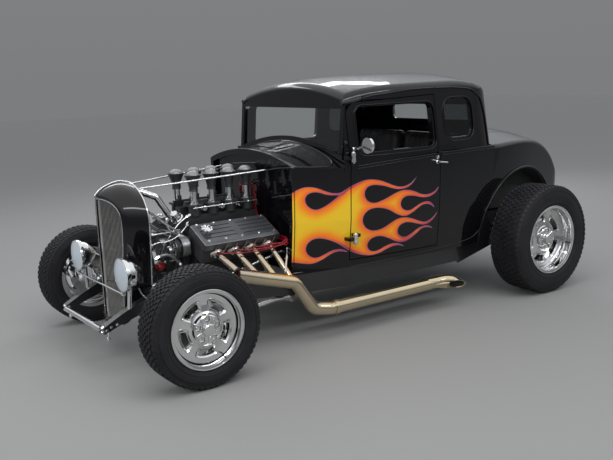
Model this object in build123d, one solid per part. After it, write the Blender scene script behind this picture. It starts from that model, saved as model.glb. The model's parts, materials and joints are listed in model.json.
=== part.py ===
"""Open-engined five-window hot rod coupe, modelled piece by piece at full size.

Millimetres. +X is forwards, +Y is the car's left, +Z is up. The origin is on the
ground under the middle of the car. Unless a comment says otherwise, an x in a
table is measured from the front axle, with forwards positive.
"""

from build123d import *
from functools import lru_cache
import math
import os

# Driving dimensions of the whole car
WHEELBASE = 2692
NOSE = 352  # front axle to the front of the spreader bar
TAIL = 608  # rear axle to the tail
FRONT_AXLE_X = (WHEELBASE + TAIL - NOSE) / 2
REAR_AXLE_X = FRONT_AXLE_X - WHEELBASE
GAP = 5  # running clearance round doors and lid
FIT = 0.3  # clearance between curved faces that seat on each other

# Wheels and tyres
FRONT_TYRE_R = 315
FRONT_TYRE_W = 190
FRONT_RIM_R = 209
REAR_TYRE_R = 375
REAR_TYRE_W = 255
REAR_RIM_R = 235
FRONT_RIM_FACE_Y = 860  # outer rim plane from the centre line
REAR_RIM_FACE_Y = 855
FRONT_DISH = 34  # rim plane to the face of the wheel centre
REAR_DISH = 78
RIM_WALL = 9
TYRE_BULGE = 9  # sidewall outside the rim plane
WINDOWS = 5

# Body
FIREWALL_X = -800
DOOR_FRONT_X = -1140
DOOR_REAR_X = -1820
CABIN_REAR_X = -2330
TAIL_X = -(WHEELBASE + TAIL)
SILL_Z = 392
DOOR_LOW_Z = 436
BELT_Z = 1030
DRIP_Z = 1392
ROOF_Z = 1541
WALL = 28
DOOR_WALL = 42
ARCH_R = 480

# Glass and openings, in x from the front axle and z from the ground
SCREEN_HALF = 548
SCREEN_LOW_Z = 1072
SCREEN_TOP_Z = 1356
SCREEN_X = -1107
SCREEN_LEAN = 27  # how far the top of the screen lies behind its foot
DOOR_WINDOW = (-1215, -1785, 1085, 1352)
QUARTER_WINDOW = (-1905, -2140, 1122, 1366)
REAR_WINDOW_HALF = 425
REAR_WINDOW_Z = (1196, 1304)
GLASS = 6

# Chassis
RAIL_W = 48
KINGPIN_Y = 655
KINGPIN_R = 11
SPREADER_R = 16
SPREADER_Z = 247
HORN_Y = 289
TIE_ROD_R = 11
ARM_LENGTH = 130

# Engine
ENGINE_FRONT_X = -235
ENGINE_REAR_X = -800
STACK_X = (-365, -485, -605, -725)
STACK_Y = 84
STACK_TUBE_R = 20
STACK_HORN_R = 50
STACK_FOOT_Z = 822
STACK_TUBE_TOP_Z = 905
STACK_RIM_Z = 998
HEAD_TILT = 27
PRIMARY_R = 19
COLLECTOR_R = 40

# Grille shell and lamps
SHELL_FRONT_X = 205
SHELL_REAR_X = -10
SHELL_TOP_Z = 1008
SHELL_LOW_Z = 205
SHELL_HALF = 262
SHELL_LOW_HALF = 205
LAMP_X = 225
LAMP_Y = 331
LAMP_Z = 540
LAMP_R = 92
LAMP_LENGTH = 118

# Steering and doors
STEER_WHEEL_R = 175
DOOR_HINGE_Y = 622
LID_FRONT_X = -2440
LID_REAR_Z = 600
LID_HALF = 395
LID_WALL = 22

FAR = 900  # half width of a cutter that passes both sides of the car

# Body surfaces
# x, half width: the body in plan, at the belt, from the firewall to the tail corner
PLAN = ((FIREWALL_X, 475), (-970, 548), (DOOR_FRONT_X, 600), (-1480, 645),
        (DOOR_REAR_X, 662), (-2055, 661), (-2290, 650), (-2570, 618), (-2850, 560),
        (-3180, 478), (-3268, 425), (TAIL_X, 320))
# z, how far the side stands inside the belt line there
SIDE_LEAN = ((340, 50), (690, 12), (1200, -6))
# x, crown height, height at the arch's foot: the cowl top between firewall and screen
COWL_ARCH = ((FIREWALL_X, 1103, 952), (DOOR_FRONT_X, 1142, 985))
# x, crown height, height at the arch's foot: the roof from the visor to its back
ROOF_ARCH = ((-1040, 1462, 1352), (-1300, 1524, 1432), (-1750, ROOF_Z + 2, 1462), (-2120, ROOF_Z - 3, 1455),
             (-2330, 1490, 1400), (-2480, 1368, 1270))
ARCH_HALF = 640
# x, half width: the cabin above the belt in plan, screen to back
UPPER = ((-1085, 590), (-1450, 643), (DOOR_REAR_X, 655), (-2180, 640))
UPPER_BACK_X = -2432
UPPER_BACK_HALF = 410
UPPER_LEAN = 52  # how far the cabin's sides come in from the belt to the roof
# x, crown height, height at the arch's foot: the deck and the tail behind the cabin
DECK_ARCH = ((-2200, 1122, 1046), (-2560, 1140, 1038), (-2880, 1100, 994), (-3120, 962, 874),
             (-3250, 780, 726), (TAIL_X - 2, 540, 518))
DECK_ROUND = 40
ROOF_ROUND = 55

# Screen frame, hinges, mouldings and window lips
SCREEN_CROWN_Z = 1160
SCREEN_FRAME = 24
HINGE_PIN_X = DOOR_FRONT_X - GAP / 2
HINGE_HEIGHTS = (575, 1062)
HINGE_R = 9
HINGE_PIN_R = 5
LEAF_Y0 = 566
LID_HINGE_X = LID_FRONT_X - GAP / 2
LID_HINGE_Z = 1140
# x, middle height: the belt moulding, then the drip moulding over door and quarter window
BELT_LINE = ((-1100, 996), (-1500, 1020), (-1850, 1030), (-2330, 1034))
DRIP_LINE = ((-1140, 1364), (-1304, 1412), (-1631, 1440), (-1984, 1438), (-2171, 1417), (-2246, 1361),
             (-2284, 1239), (-2300, 1046))
MOULD_PROUD = 5
BELT_W = 17
DRIP_W = 11
ARCH_BEAD_W = 13
LIP_PROUD = 4
LIP_W = 14
REVEAL_DEPTH = 7
REVEAL_W = 20
PANEL_SPLIT_Y = 470
SCREEN_LIP = 9

# Frame, springs, axles and brakes
# x, y of the middle, underside, top: one side rail from the horn's tip to the rear
RAIL = ((336, HORN_Y, 228, 266), (230, 291, 268, 322), (70, 298, 318, 392), (-250, 330, 290, 392),
        (-800, 478, 276, SILL_Z), (-1150, 528, 275, SILL_Z), (-2120, 540, 281, SILL_Z),
        (-2330, 455, 340, 450), (-2500, 425, 445, 545), (-2900, 415, 445, 545), (-3100, 405, 415, 476),
        (-3262, 400, 400, 465))
CROSS_TOP_Z = 384
LADDER_Y = 370
LEAF_HALF = (430, 330, 230)
LEAF_T = 9
SPRING_W = 44
SPRING_TOP_Z = 317.7
SPRING_DROP = 45
AXLE_Z = 232
AXLE_R = 27
BOSS_R = 27
BOSS_H = 84
KNUCKLE_Z = FRONT_TYRE_R
SPINDLE_R = 15
LUG_T = 14
LUG_GAP = 1
TIE_ROD_Z = KNUCKLE_Z - BOSS_H / 2 - LUG_GAP - LUG_T / 2 + 22
# radii as shares of the rim's inner radius, half widths as shares of it too, depth of cut
WINDOW_CUTS = ((0.54, 0.25, 0.87, 0.39, 6, 12), (0.59, 0.20, 0.80, 0.28, 80, 9),
               (0.825, 0.29, 0.852, 0.30, 80, 1.5))
LUG_CIRCLE_R = 57
LUG_POCKET_R = 12
BRAKE_R = 132
BRAKE_Y = 751
BRAKE_T = 10
GEARBOX_TAIL_X = -1360
DRIVE_Z = 350
REAR_SPRING_Y = 330

# Engine block, stacks, headers and belt
BANK_OFFSET = 25  # how far the right bank stands ahead of the left
HEAD_Y = 262
HEAD_Z = 640
COVER_W = 202
COVER_T = 52
HEAD_H = 92
HORN_WALL = 3
THROTTLE_R = 37
THROTTLE_FOOT_Z = 758
SPINE_Z = 806
# height above the tube's top, radius outside: a horn's flare
HORN_FLARE = ((0, 25), (22, 26), (45, 31), (70, 40), (84, 47))
SCREEN_WALL = 2.5
# share of the horn's radius, height over the rim: a screen's dome
DOME_RISE = ((1.0, 0), (0.92, 9), (0.7, 17), (0.38, 22))
DOME_R = 40
DOME_TOP = 24
PORT_Z = 590
PRIMARY_X = (-385, -500, -615, -730)
COLLECTOR_Z = 182
PUMP_X = ENGINE_FRONT_X + 45  # plane of the pulleys' backs
# y, z, radius: the pulleys seen from the front
PULLEYS = ((0, 345, 78), (0, 560, 64), (190, 606, 40), (-165, 640, 44))
BELT_T = 5
BELT_ROW = 16
DISTRIBUTOR_X = -762
MANIFOLD_TOP_Z = 742
# x, half width: the shell in plan, prow to rear edge
SHELL_PLAN = ((SHELL_FRONT_X, 0), (128, 236), (60, 260), (SHELL_REAR_X, 264))
SHELL_WALL = 30
SHELL_EAVES_Z = 915
SHELL_SHOULDER_R = 105
GRILLE_X = 192  # the prow of the bars' front faces
GRILLE_SLOPE = 0.385  # how fast the vee falls back from the prow
GRILLE_PITCH = 10
GRILLE_BAR = 4.5
GRILLE_DEPTH = 9
GRILLE_BORDER = 9
GRILLE_BANDS = (330, 480, 630, 780, 900)  # heights of the bands behind the bars
BAR_X = 221
BAR_Z = 434
TUNNEL_HALF = 150
TUNNEL_Z = 502
BOOT_Z = 564
FLOOR_REAR_X = -2118
TUB_Y = 392
COLUMN_TILT = 32
STEER_Y = 300
STEER_HUB = (-1480, STEER_Y, 935)
COLUMN_AXIS = Vector(-math.cos(math.radians(COLUMN_TILT)), 0, math.sin(math.radians(COLUMN_TILT)))
LAMP_HOLE_R = 38


def at(x, y, z):
    """A point given from the front axle, in the car's own frame."""
    return Vector(FRONT_AXLE_X + x, y, z)


def both(solid):
    """A left-hand piece with its right-hand twin."""
    return Compound(children=list(solid.solids()) + list(mirror(solid, about=Plane.XZ).solids()))


def on_side(solid, side):
    """A left hand solid, or its mirror image on the right where side is -1."""
    return solid if side > 0 else mirror(solid, about=Plane.XZ)


def block(x0, x1, y0, y1, z0, z1):
    """A box between two x from the front axle, two y and two z."""
    low, high = min(x0, x1), max(x0, x1)
    box = Box(high - low, y1 - y0, z1 - z0, align=(Align.MIN, Align.MIN, Align.MIN))
    return Pos(FRONT_AXLE_X + low, y0, z0) * box


def side_prism(outline, y0, y1):
    """A closed side-view outline of (x, z) points, pushed from y0 to y1."""
    face = make_face(Polyline(*[at(x, y0, z) for x, z in outline], close=True))
    return extrude(face, amount=y1 - y0, dir=(0, 1, 0))


def rod(start, end, radius):
    """A round bar between two points given from the front axle."""
    a, b = at(*start), at(*end)
    bar = Cylinder(radius, (b - a).length, align=(Align.CENTER, Align.CENTER, Align.MIN))
    return Plane(origin=a, z_dir=b - a) * bar


def pipe(points, bend, radius):
    """A round tube along straight runs joined by bends of one radius."""
    path = FilletPolyline(*[at(*point) for point in points], radius=bend)
    return sweep(Plane(origin=path @ 0, z_dir=path % 0) * Circle(radius), path=path)


def turned(profile):
    """A solid turned about the Y axis from (y, radius) points."""
    face = make_face(Polyline(*[(radius, y, 0) for y, radius in profile], close=True))
    return revolve(face, axis=Axis.Y)


def rounded_window(x0, x1, z0, z1, radius, y0, y1):
    """A side window cutter with rounded corners."""
    middle = Pos(FRONT_AXLE_X + (x0 + x1) / 2, y0, (z0 + z1) / 2)
    face = middle * (Plane.XZ * RectangleRounded(abs(x1 - x0), z1 - z0, radius))
    return extrude(face, amount=y1 - y0, dir=(0, 1, 0))


# Body surfaces


def plan_wire(z, inset, end_inset):
    """The body's plan outline at one height, drawn inside its skin by inset."""
    half = [at(x, width - inset, z) for x, width in PLAN[:-1]]
    tail = at(PLAN[-1][0] + end_inset, PLAN[-1][1], z)
    half[-1] = at(PLAN[-2][0] + end_inset * 0.7, PLAN[-2][1] - inset * 0.7, z)
    left = [ThreePointArc(half[0], half[1], half[2]), ThreePointArc(half[2], half[3], half[4]),
            ThreePointArc(half[4], half[5], half[6]), ThreePointArc(half[6], half[7], half[8]),
            Line(half[8], half[9]), ThreePointArc(half[9], half[10], tail)]
    right = [mirror(edge, about=Plane.XZ) for edge in left]
    back = Line(tail, Vector(tail.X, -tail.Y, z))
    front = Line(half[0], Vector(half[0].X, -half[0].Y, z))
    edges = []
    for piece in left + [back] + right + [front]:
        edges += piece.edges()
    return Face(Wire(edges))


@lru_cache(maxsize=None)
def body_sides(inset):
    """The tall solid whose sides are the body's sides, from the firewall to the tail."""
    faces = [plan_wire(z, inset + lean, inset) for z, lean in SIDE_LEAN]
    return loft(faces, ruled=True)


def arch_block(rows, inset):
    """A block under a top that is arched across and follows the rows along the car."""
    faces = []
    for x, crown, foot in rows:
        low_left, low_right = at(x, ARCH_HALF, SILL_Z - 60), at(x, -ARCH_HALF, SILL_Z - 60)
        left, right = at(x, ARCH_HALF, foot - inset), at(x, -ARCH_HALF, foot - inset)
        top = ThreePointArc(left, at(x, 0, crown - inset), right)
        ring = [top, Line(right, low_right), Line(low_right, low_left), Line(low_left, left)]
        faces.append(Face(Wire(ring)))
    return loft(faces, ruled=len(rows) == 2)


def upper_wire(z, inset, lean):
    """The upper cabin's plan outline at one height."""
    a, b, c, d = (at(x, width - inset - lean, z) for x, width in UPPER)
    back_x = UPPER_BACK_X + inset + lean * 0.6
    corner = at((UPPER[-1][0] + back_x) / 2 - 68, UPPER[-1][1] - inset * 0.7 - lean - 68, z)
    back = at(back_x, UPPER_BACK_HALF - inset * 0.4, z)
    left = [ThreePointArc(a, b, c), Line(c, d), ThreePointArc(d, corner, back)]
    right = [mirror(edge, about=Plane.XZ) for edge in left]
    edges = [Line(a, Vector(a.X, -a.Y, z)), Line(back, Vector(back.X, -back.Y, z))]
    for piece in left + right:
        edges += piece.edges()
    return Face(Wire(edges))


@lru_cache(maxsize=None)
def upper_cabin(inset, top_inset, roof_round, front_inset=0):
    """The upper cabin as a solid, under the arched roof."""
    low_z, high_z = BELT_Z - 30, ROOF_Z + 40
    share = (high_z - low_z) / (DRIP_Z - low_z)
    sides = loft([upper_wire(low_z, inset, 0), upper_wire(high_z, inset, UPPER_LEAN * share)], ruled=True)
    cabin = sides & arch_block(ROOF_ARCH, top_inset)
    lean_rate = SCREEN_LEAN / (SCREEN_TOP_Z - SCREEN_LOW_Z)
    front = [(SCREEN_X - front_inset - lean_rate * (z - SCREEN_LOW_Z), z)
             for z in (low_z - 5, high_z + 5)]
    cut = side_prism([front[0], (-900, low_z - 5), (-900, high_z + 5), front[1]], -FAR, FAR)
    cabin = cabin - cut
    if roof_round:
        edges = [edge for edge in cabin.edges() if is_roof_edge(edge)]
        cabin = fillet(edges, roof_round)
    return cabin


def is_roof_edge(edge):
    """True for the edges where the arched roof meets the sides, screen and back."""
    low = edge.bounding_box().min.Z
    return low > 1250 and edge.bounding_box().size.X + edge.bounding_box().size.Y > 60


@lru_cache(maxsize=None)
def deck_solid(inset, round_r):
    """The body behind the cabin, with its deck and tail."""
    behind = block(CABIN_REAR_X, TAIL_X - 100, -FAR, FAR, SILL_Z, ROOF_Z)
    body = body_sides(inset) & arch_block(DECK_ARCH, inset) & behind
    if round_r:
        body = fillet([edge for edge in body.edges() if is_deck_edge(edge)], round_r)
    return body


def is_deck_edge(edge):
    """True for the edges where the deck and tail meet the body's sides and back."""
    box = edge.bounding_box()
    behind = box.max.X < FRONT_AXLE_X + CABIN_REAR_X + 5
    runs_back = box.size.X > 20 and box.size.X + box.size.Y > 30
    return behind and runs_back and box.max.Z > SILL_Z + 5 and box.size.Y < 600


def door_outline(inset):
    """The door in side view: its opening at inset 0, its own edge inside that."""
    front, rear = DOOR_FRONT_X - inset, DOOR_REAR_X + inset
    return [(front, DOOR_LOW_Z + inset), (front, 1335 - inset), (front - 50, 1384 - inset),
            (rear, DRIP_Z + 12 - inset), (rear, DOOR_LOW_Z + inset)]


def screen_outline(grow, x):
    """The windscreen's outline at one x: straight top and sides over an arched foot."""
    half, low, top = SCREEN_HALF + grow, SCREEN_LOW_Z - grow, SCREEN_TOP_Z + grow
    a, b = at(x, half, low), at(x, half, top)
    c, d = at(x, -half, top), at(x, -half, low)
    foot = ThreePointArc(d, at(x, 0, SCREEN_CROWN_Z - grow), a)
    return Face(Wire([Line(a, b), Line(b, c), Line(c, d), foot]))


def leaned(solid):
    """Lean a piece back with the windscreen, about its foot."""
    angle = math.degrees(math.atan2(SCREEN_LEAN, SCREEN_TOP_Z - SCREEN_LOW_Z))
    foot = at(SCREEN_X, 0, SCREEN_LOW_Z)
    return Pos(*foot) * Rot(0, -angle, 0) * Pos(*(-foot)) * solid


def door_hinges():
    """The left door's hinges: the cowl's leaves with their pins, and the door's leaves."""
    fixed, moving = [], []
    for z in HINGE_HEIGHTS:
        place = Pos(*at(HINGE_PIN_X, DOOR_HINGE_Y, z))
        low = place * Cylinder(HINGE_R, 20) + place * Pos(0, 0, 20) * Cylinder(HINGE_PIN_R, 20)
        low = low + block(HINGE_PIN_X + 5, HINGE_PIN_X + 38, LEAF_Y0, DOOR_HINGE_Y + 4, z - 10, z + 10)
        fixed.append(low)
        high = place * Pos(0, 0, 20.5) * Cylinder(HINGE_R, 20)
        high = high + block(HINGE_PIN_X - 6, HINGE_PIN_X - 40, LEAF_Y0, DOOR_HINGE_Y + 4, z + 10.5, z + 30.5)
        moving.append(high - place * Cylinder(HINGE_PIN_R + FIT, 80))
    return fixed, moving


def lid_hinge(radius):
    """The deck lid's left hinge pin, on the gap at its front edge."""
    return rod((LID_HINGE_X, 60, LID_HINGE_Z), (LID_HINGE_X, 120, LID_HINGE_Z), radius)


def band(line, width, y0, y1):
    """A strip of one width following a line of (x, z) points in side view."""
    points = [Vector(FRONT_AXLE_X + x, y0, z) for x, z in line]
    upper, lower = [], []
    for index, here in enumerate(points):
        before, after = points[max(index - 1, 0)], points[min(index + 1, len(points) - 1)]
        along = (after - before).normalized()
        across = Vector(-along.Z, 0, along.X) * (width / 2)
        upper.append(here + across)
        lower.append(here - across)
    face = make_face(Polyline(*upper, *reversed(lower), close=True))
    return extrude(face, amount=y1 - y0, dir=(0, 1, 0))


@lru_cache(maxsize=None)
def mouldings():
    """The left side's raised mouldings: belt, drip rail and wheel arch bead."""
    skin = body_sides(-MOULD_PROUD) - body_sides(0)
    arch_at = Pos(REAR_AXLE_X, 0, REAR_TYRE_R) * Rot(90, 0, 0)
    ring = arch_at * (Cylinder(ARCH_R + ARCH_BEAD_W, 2 * FAR) - Cylinder(ARCH_R, 2 * FAR))
    zone = block(-1900, -3170, 100, FAR, 472, 2000)
    belt = skin & band(BELT_LINE, BELT_W, 100, FAR)
    arch = skin & ring & zone
    cabin = upper_cabin(-MOULD_PROUD, -MOULD_PROUD, ROOF_ROUND + MOULD_PROUD) - upper_cabin(0, 0, ROOF_ROUND)
    drip = cabin & band(DRIP_LINE, DRIP_W, 100, FAR)
    return belt, arch, drip


def cowl_details():
    """The cowl's rolled front lip and the raised lid of its vent."""
    outer = body_sides(-LIP_PROUD) & arch_block(COWL_ARCH, -LIP_PROUD)
    lip = (outer - (body_sides(WALL / 2) & arch_block(COWL_ARCH, WALL / 2))) \
        & block(FIREWALL_X, FIREWALL_X - LIP_W, -FAR, FAR, SILL_Z, 2000)
    vent = (outer - arch_block(COWL_ARCH, WALL / 2)) & block(-905, -1045, -165, 165, 1000, 2000)
    return [biggest(lip), biggest(vent)]


def reveal(window, grow, radius):
    """The stepped recess round a side window's opening."""
    x0, x1, z0, z1 = window
    recess = rounded_window(x0 + grow, x1 - grow, z0 - grow, z1 + grow * 0.4, radius + grow, 0, FAR)
    return recess - upper_cabin(REVEAL_DEPTH, REVEAL_DEPTH, 0)


@lru_cache(maxsize=None)
def body_nodes():
    """The body's panels, split where the real ones meet."""
    nodes = {}
    sides, inner = body_sides(0), body_sides(WALL)
    cowl_zone = block(FIREWALL_X, DOOR_FRONT_X, -FAR, FAR, SILL_Z, ROOF_Z)
    cowl = (sides & arch_block(COWL_ARCH, 0) & cowl_zone) - (inner & arch_block(COWL_ARCH, WALL))
    upper = upper_cabin(0, 0, ROOF_ROUND) - upper_cabin(WALL, WALL, 0, WALL)
    screen_hole = leaned(extrude(screen_outline(0, SCREEN_X + 60), amount=140, dir=(-1, 0, 0)))
    upper = upper - screen_hole
    door_hole = side_prism(door_outline(0), -FAR, FAR)
    upper = upper - door_hole
    upper = upper - rounded_window(*QUARTER_WINDOW, 55, -FAR, FAR)
    rear_face = Plane(origin=at(UPPER_BACK_X, 0, sum(REAR_WINDOW_Z) / 2), z_dir=(1, 0, 0), x_dir=(0, 1, 0))
    rear_shape = rear_face * RectangleRounded(2 * REAR_WINDOW_HALF, REAR_WINDOW_Z[1] - REAR_WINDOW_Z[0], 30)
    rear_hole = extrude(rear_shape, amount=90, both=True)
    upper = upper - rear_hole
    deck_outer = deck_solid(0, DECK_ROUND)
    deck = deck_outer - deck_solid(WALL, 0).moved(Location((WALL, 0, 0))) - deck_solid(WALL, 0)
    low = sides - inner
    low_door = low & block(DOOR_FRONT_X, DOOR_REAR_X, -FAR, FAR, SILL_Z, DOOR_LOW_Z)
    low_rear = low & block(DOOR_REAR_X, CABIN_REAR_X, -FAR, FAR, SILL_Z, BELT_Z)
    above_belt = block(0, -3000, -FAR, FAR, BELT_Z, DRIP_Z)
    roof_zone = block(0, -3000, -FAR, FAR, DRIP_Z, ROOF_Z + 50)
    post_zone = block(0, DOOR_FRONT_X, -FAR, FAR, BELT_Z - 30, DRIP_Z)
    nodes["cowl"] = cowl + ((upper & post_zone) - (inner & arch_block(COWL_ARCH, WALL)))
    for piece in cowl_details():
        nodes["cowl"] = nodes["cowl"] + piece
    fixed, moving = door_hinges()
    for leaf_piece in fixed:
        nodes["cowl"] = nodes["cowl"] + leaf_piece + mirror(leaf_piece, about=Plane.XZ)
    nodes["sills"] = low_door
    rear_upper = (upper & above_belt & block(DOOR_REAR_X, -3000, -FAR, FAR, 0, 2000)) - deck_outer
    back_panel = rear_upper & block(-2200, -3000, -PANEL_SPLIT_Y, PANEL_SPLIT_Y, 0, 2000)
    nodes["roof"] = (upper & roof_zone) + back_panel
    lid_hole = block(LID_FRONT_X, TAIL_X - 50, -LID_HALF, LID_HALF, LID_REAR_Z, ROOF_Z)
    deck_open = deck - lid_hole
    arch = Pos(REAR_AXLE_X, 0, REAR_TYRE_R) * Rot(90, 0, 0) * Cylinder(ARCH_R, 2 * FAR)
    under = side_prism([(-2690, 0), (-2690, 470), (-3060, 470), (-3400, 505), (-3400, 0)], -FAR, FAR)
    left_half = block(0, -4000, 0, FAR, 0, 2000)
    outside = block(-2200, -3000, PANEL_SPLIT_Y, FAR, 0, 2000)
    forward = block(DOOR_REAR_X, -2200, 0, FAR, 0, 2000)
    beside = block(CABIN_REAR_X, TAIL_X - 50, LID_HALF, FAR, 0, 2000)
    belt, arch_bead, drip = mouldings()
    behind_door = block(DOOR_REAR_X, CABIN_REAR_X - 2, 0, FAR, 0, DRIP_Z)
    beads = (belt & behind_door).solids() + arch_bead.solids() + (drip & behind_door).solids()
    for name, side in (("quarter_left", 1), ("quarter_right", -1)):
        quarter = low_rear & on_side(left_half, side)
        quarter = quarter + (rear_upper & on_side(forward + outside, side))
        quarter = quarter + (deck_open & on_side(beside, side))
        quarter = quarter - arch - under
        for piece in beads:
            quarter = quarter + on_side(piece, side)
        nodes[name] = quarter - on_side(reveal(QUARTER_WINDOW, REVEAL_W, 55), side)
    for piece in (drip & block(0, -3000, 0, FAR, DRIP_Z, 2000)).solids():
        nodes["roof"] = nodes["roof"] + piece + mirror(piece, about=Plane.XZ)
    for piece in (belt & block(-1100, DOOR_FRONT_X, 0, FAR, 0, 2000)).solids():
        nodes["cowl"] = nodes["cowl"] + piece + mirror(piece, about=Plane.XZ)
    lower_skin = (sides - body_sides(DOOR_WALL)) & block(0, -4000, 0, FAR, 0, BELT_Z)
    upper_skin = upper_cabin(0, 0, 0) - upper_cabin(DOOR_WALL, WALL, 0)
    upper_skin = upper_skin & block(0, -4000, 0, FAR, BELT_Z, 2000)
    own = side_prism(door_outline(GAP), 0, FAR)
    door = (lower_skin & own) + (upper_skin & own)
    door = door - rounded_window(*DOOR_WINDOW, 38, -FAR, FAR)
    for piece in (belt & own).solids():
        door = door + piece
    door = door - reveal(DOOR_WINDOW, REVEAL_W, 38)
    for leaf_piece in moving:
        door = door + leaf_piece
    nodes["door_left"] = door
    nodes["door_right"] = mirror(door, about=Plane.XZ)
    between = block(CABIN_REAR_X, TAIL_X - 50, -LID_HALF, LID_HALF, 0, 2000)
    middle = deck_open & between
    deck_strip = (middle & block(0, LID_FRONT_X - 1, -FAR, FAR, 0, 2000)) + lid_hinge(6)
    deck_strip = deck_strip + mirror(lid_hinge(6), about=Plane.XZ)
    tail = (middle & block(LID_FRONT_X - 1, -4000, -FAR, FAR, 0, LID_REAR_Z)) - under
    for side in (1, -1):
        tail = tail - tail_lamp(side, LAMP_HOLE_R)
    nodes["rear_panels"] = Compound(children=list(deck_strip.solids()) + list(tail.solids()))
    lid_zone = block(LID_FRONT_X - GAP, TAIL_X - 50, GAP - LID_HALF, LID_HALF - GAP,
                     LID_REAR_Z + GAP, ROOF_Z)
    lid = (deck_outer - deck_solid(LID_WALL, 0)) & lid_zone
    lid = lid - lid_hinge(6 + FIT) - mirror(lid_hinge(6 + FIT), about=Plane.XZ)
    nodes["deck_lid"] = lid
    return nodes


def screen_frame():
    """The frame standing round the windscreen, against the posts and header."""
    outer, hole = screen_outline(SCREEN_FRAME, SCREEN_X + 9), screen_outline(-SCREEN_LIP, SCREEN_X + 9)
    ring = extrude(outer, amount=9, dir=(-1, 0, 0)) - extrude(hole, amount=20, dir=(-1, 0, 0))
    cowl, roof = body_nodes()["cowl"], body_nodes()["roof"]
    return biggest(leaned(ring) - cowl - roof)


def door_handle():
    """The left door's lever handle on its round foot."""
    foot = rod((-1775, 640, 985), (-1775, 678, 985), 13)
    stem = rod((-1775, 670, 985), (-1775, 700, 985), 7)
    lever = rod((-1768, 694, 986), (-1845, 694, 975), 6)
    return biggest(foot + stem + lever - body_nodes()["door_left"])


def handle_nodes():
    """The handles of both doors."""
    handle = door_handle()
    return {"door_handle_left": handle, "door_handle_right": mirror(handle, about=Plane.XZ)}


def glass_nodes():
    """Panes, each set in its opening."""
    inner_face = leaned(extrude(screen_outline(-FIT, SCREEN_X - 4), amount=GLASS, dir=(-1, 0, 0)))
    quarter_zone = rounded_window(QUARTER_WINDOW[0] - FIT, QUARTER_WINDOW[1] + FIT,
                                  QUARTER_WINDOW[2] + FIT, QUARTER_WINDOW[3] - FIT, 55 - FIT, 0, FAR)
    pane = (upper_cabin(10, 10, 0) - upper_cabin(10 + GLASS, 10 + GLASS, 0)) & quarter_zone
    back = Plane(origin=at(UPPER_BACK_X + 28, 0, sum(REAR_WINDOW_Z) / 2), z_dir=(1, 0, 0), x_dir=(0, 1, 0))
    shape = back * RectangleRounded(2 * (REAR_WINDOW_HALF - FIT), REAR_WINDOW_Z[1] - REAR_WINDOW_Z[0] - 2 * FIT,
                                    30 - FIT)
    panes = [inner_face.solid(), *both(pane).solids(), extrude(shape, amount=GLASS).solid()]
    return {"glass": Compound(children=panes)}


# Chassis


def rail_section(x, y, low, high):
    """One cross-section of a side rail."""
    plane = Plane(origin=at(x, y, (low + high) / 2), z_dir=(-1, 0, 0), x_dir=(0, 1, 0))
    return (plane * Rectangle(RAIL_W, high - low)).face()


@lru_cache(maxsize=None)
def frame_nodes():
    """The side rails with their crossmembers, and the bars between their ends."""
    rail = loft([rail_section(*row) for row in RAIL], ruled=True)
    rails = list(both(rail).solids())
    front = block(-45, 45, -285, 285, 318, CROSS_TOP_Z)
    gearbox_mount = block(-1345, -1275, -530, 530, 270, 299)
    middle = block(-1800, -1740, -530, 530, 281, 300)
    rear = block(-2870, -2820, -405, 405, 455, 545)
    ladder = rails[0] + rails[1] + front + gearbox_mount + middle + rear
    for side in (1, -1):
        y = side * LADDER_Y
        ladder = ladder + block(-1794, -1746, y - 10, y + 10, 300, 345)
    ladder = ladder - gearbox()
    front_bar = rod((NOSE - SPREADER_R, -HORN_Y + 24, SPREADER_Z), (NOSE - SPREADER_R, HORN_Y - 24, SPREADER_Z),
                    SPREADER_R)
    rear_bar = rod((-3240, -377, 434), (-3240, 377, 434), SPREADER_R)
    bars = [biggest(front_bar - ladder), biggest(rear_bar - ladder)]
    return {"frame": ladder, "spreader_bars": Compound(children=bars)}


def leaf(half, top):
    """One arched spring leaf, lying across the car, with its middle's top face at a height."""
    drop = SPRING_DROP * (half / LEAF_HALF[0]) ** 2
    x = SPRING_W / 2
    upper = ThreePointArc(at(x, -half, top - drop), at(x, 0, top), at(x, half, top - drop))
    lower = ThreePointArc(at(x, half, top - drop - LEAF_T), at(x, 0, top - LEAF_T),
                          at(x, -half, top - drop - LEAF_T))
    ends = [Line(at(x, half, top - drop), at(x, half, top - drop - LEAF_T)),
            Line(at(x, -half, top - drop - LEAF_T), at(x, -half, top - drop))]
    return extrude(Face(Wire([upper, ends[0], lower, ends[1]])), amount=SPRING_W, dir=(-1, 0, 0))


@lru_cache(maxsize=None)
def front_axle():
    """The dropped beam with its kingpin bosses, bored for the pins."""
    beam = pipe([(0, -640, KNUCKLE_Z), (0, -585, KNUCKLE_Z - 4), (0, -500, AXLE_Z), (0, 500, AXLE_Z),
                 (0, 585, KNUCKLE_Z - 4), (0, 640, KNUCKLE_Z)], 45, AXLE_R)
    for side in (1, -1):
        foot = Pos(*at(0, side * KINGPIN_Y, KNUCKLE_Z))
        beam = beam + foot * Cylinder(BOSS_R, BOSS_H)
        beam = beam - foot * Cylinder(KINGPIN_R + 0.5, BOSS_H + 20)
    return beam


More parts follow.
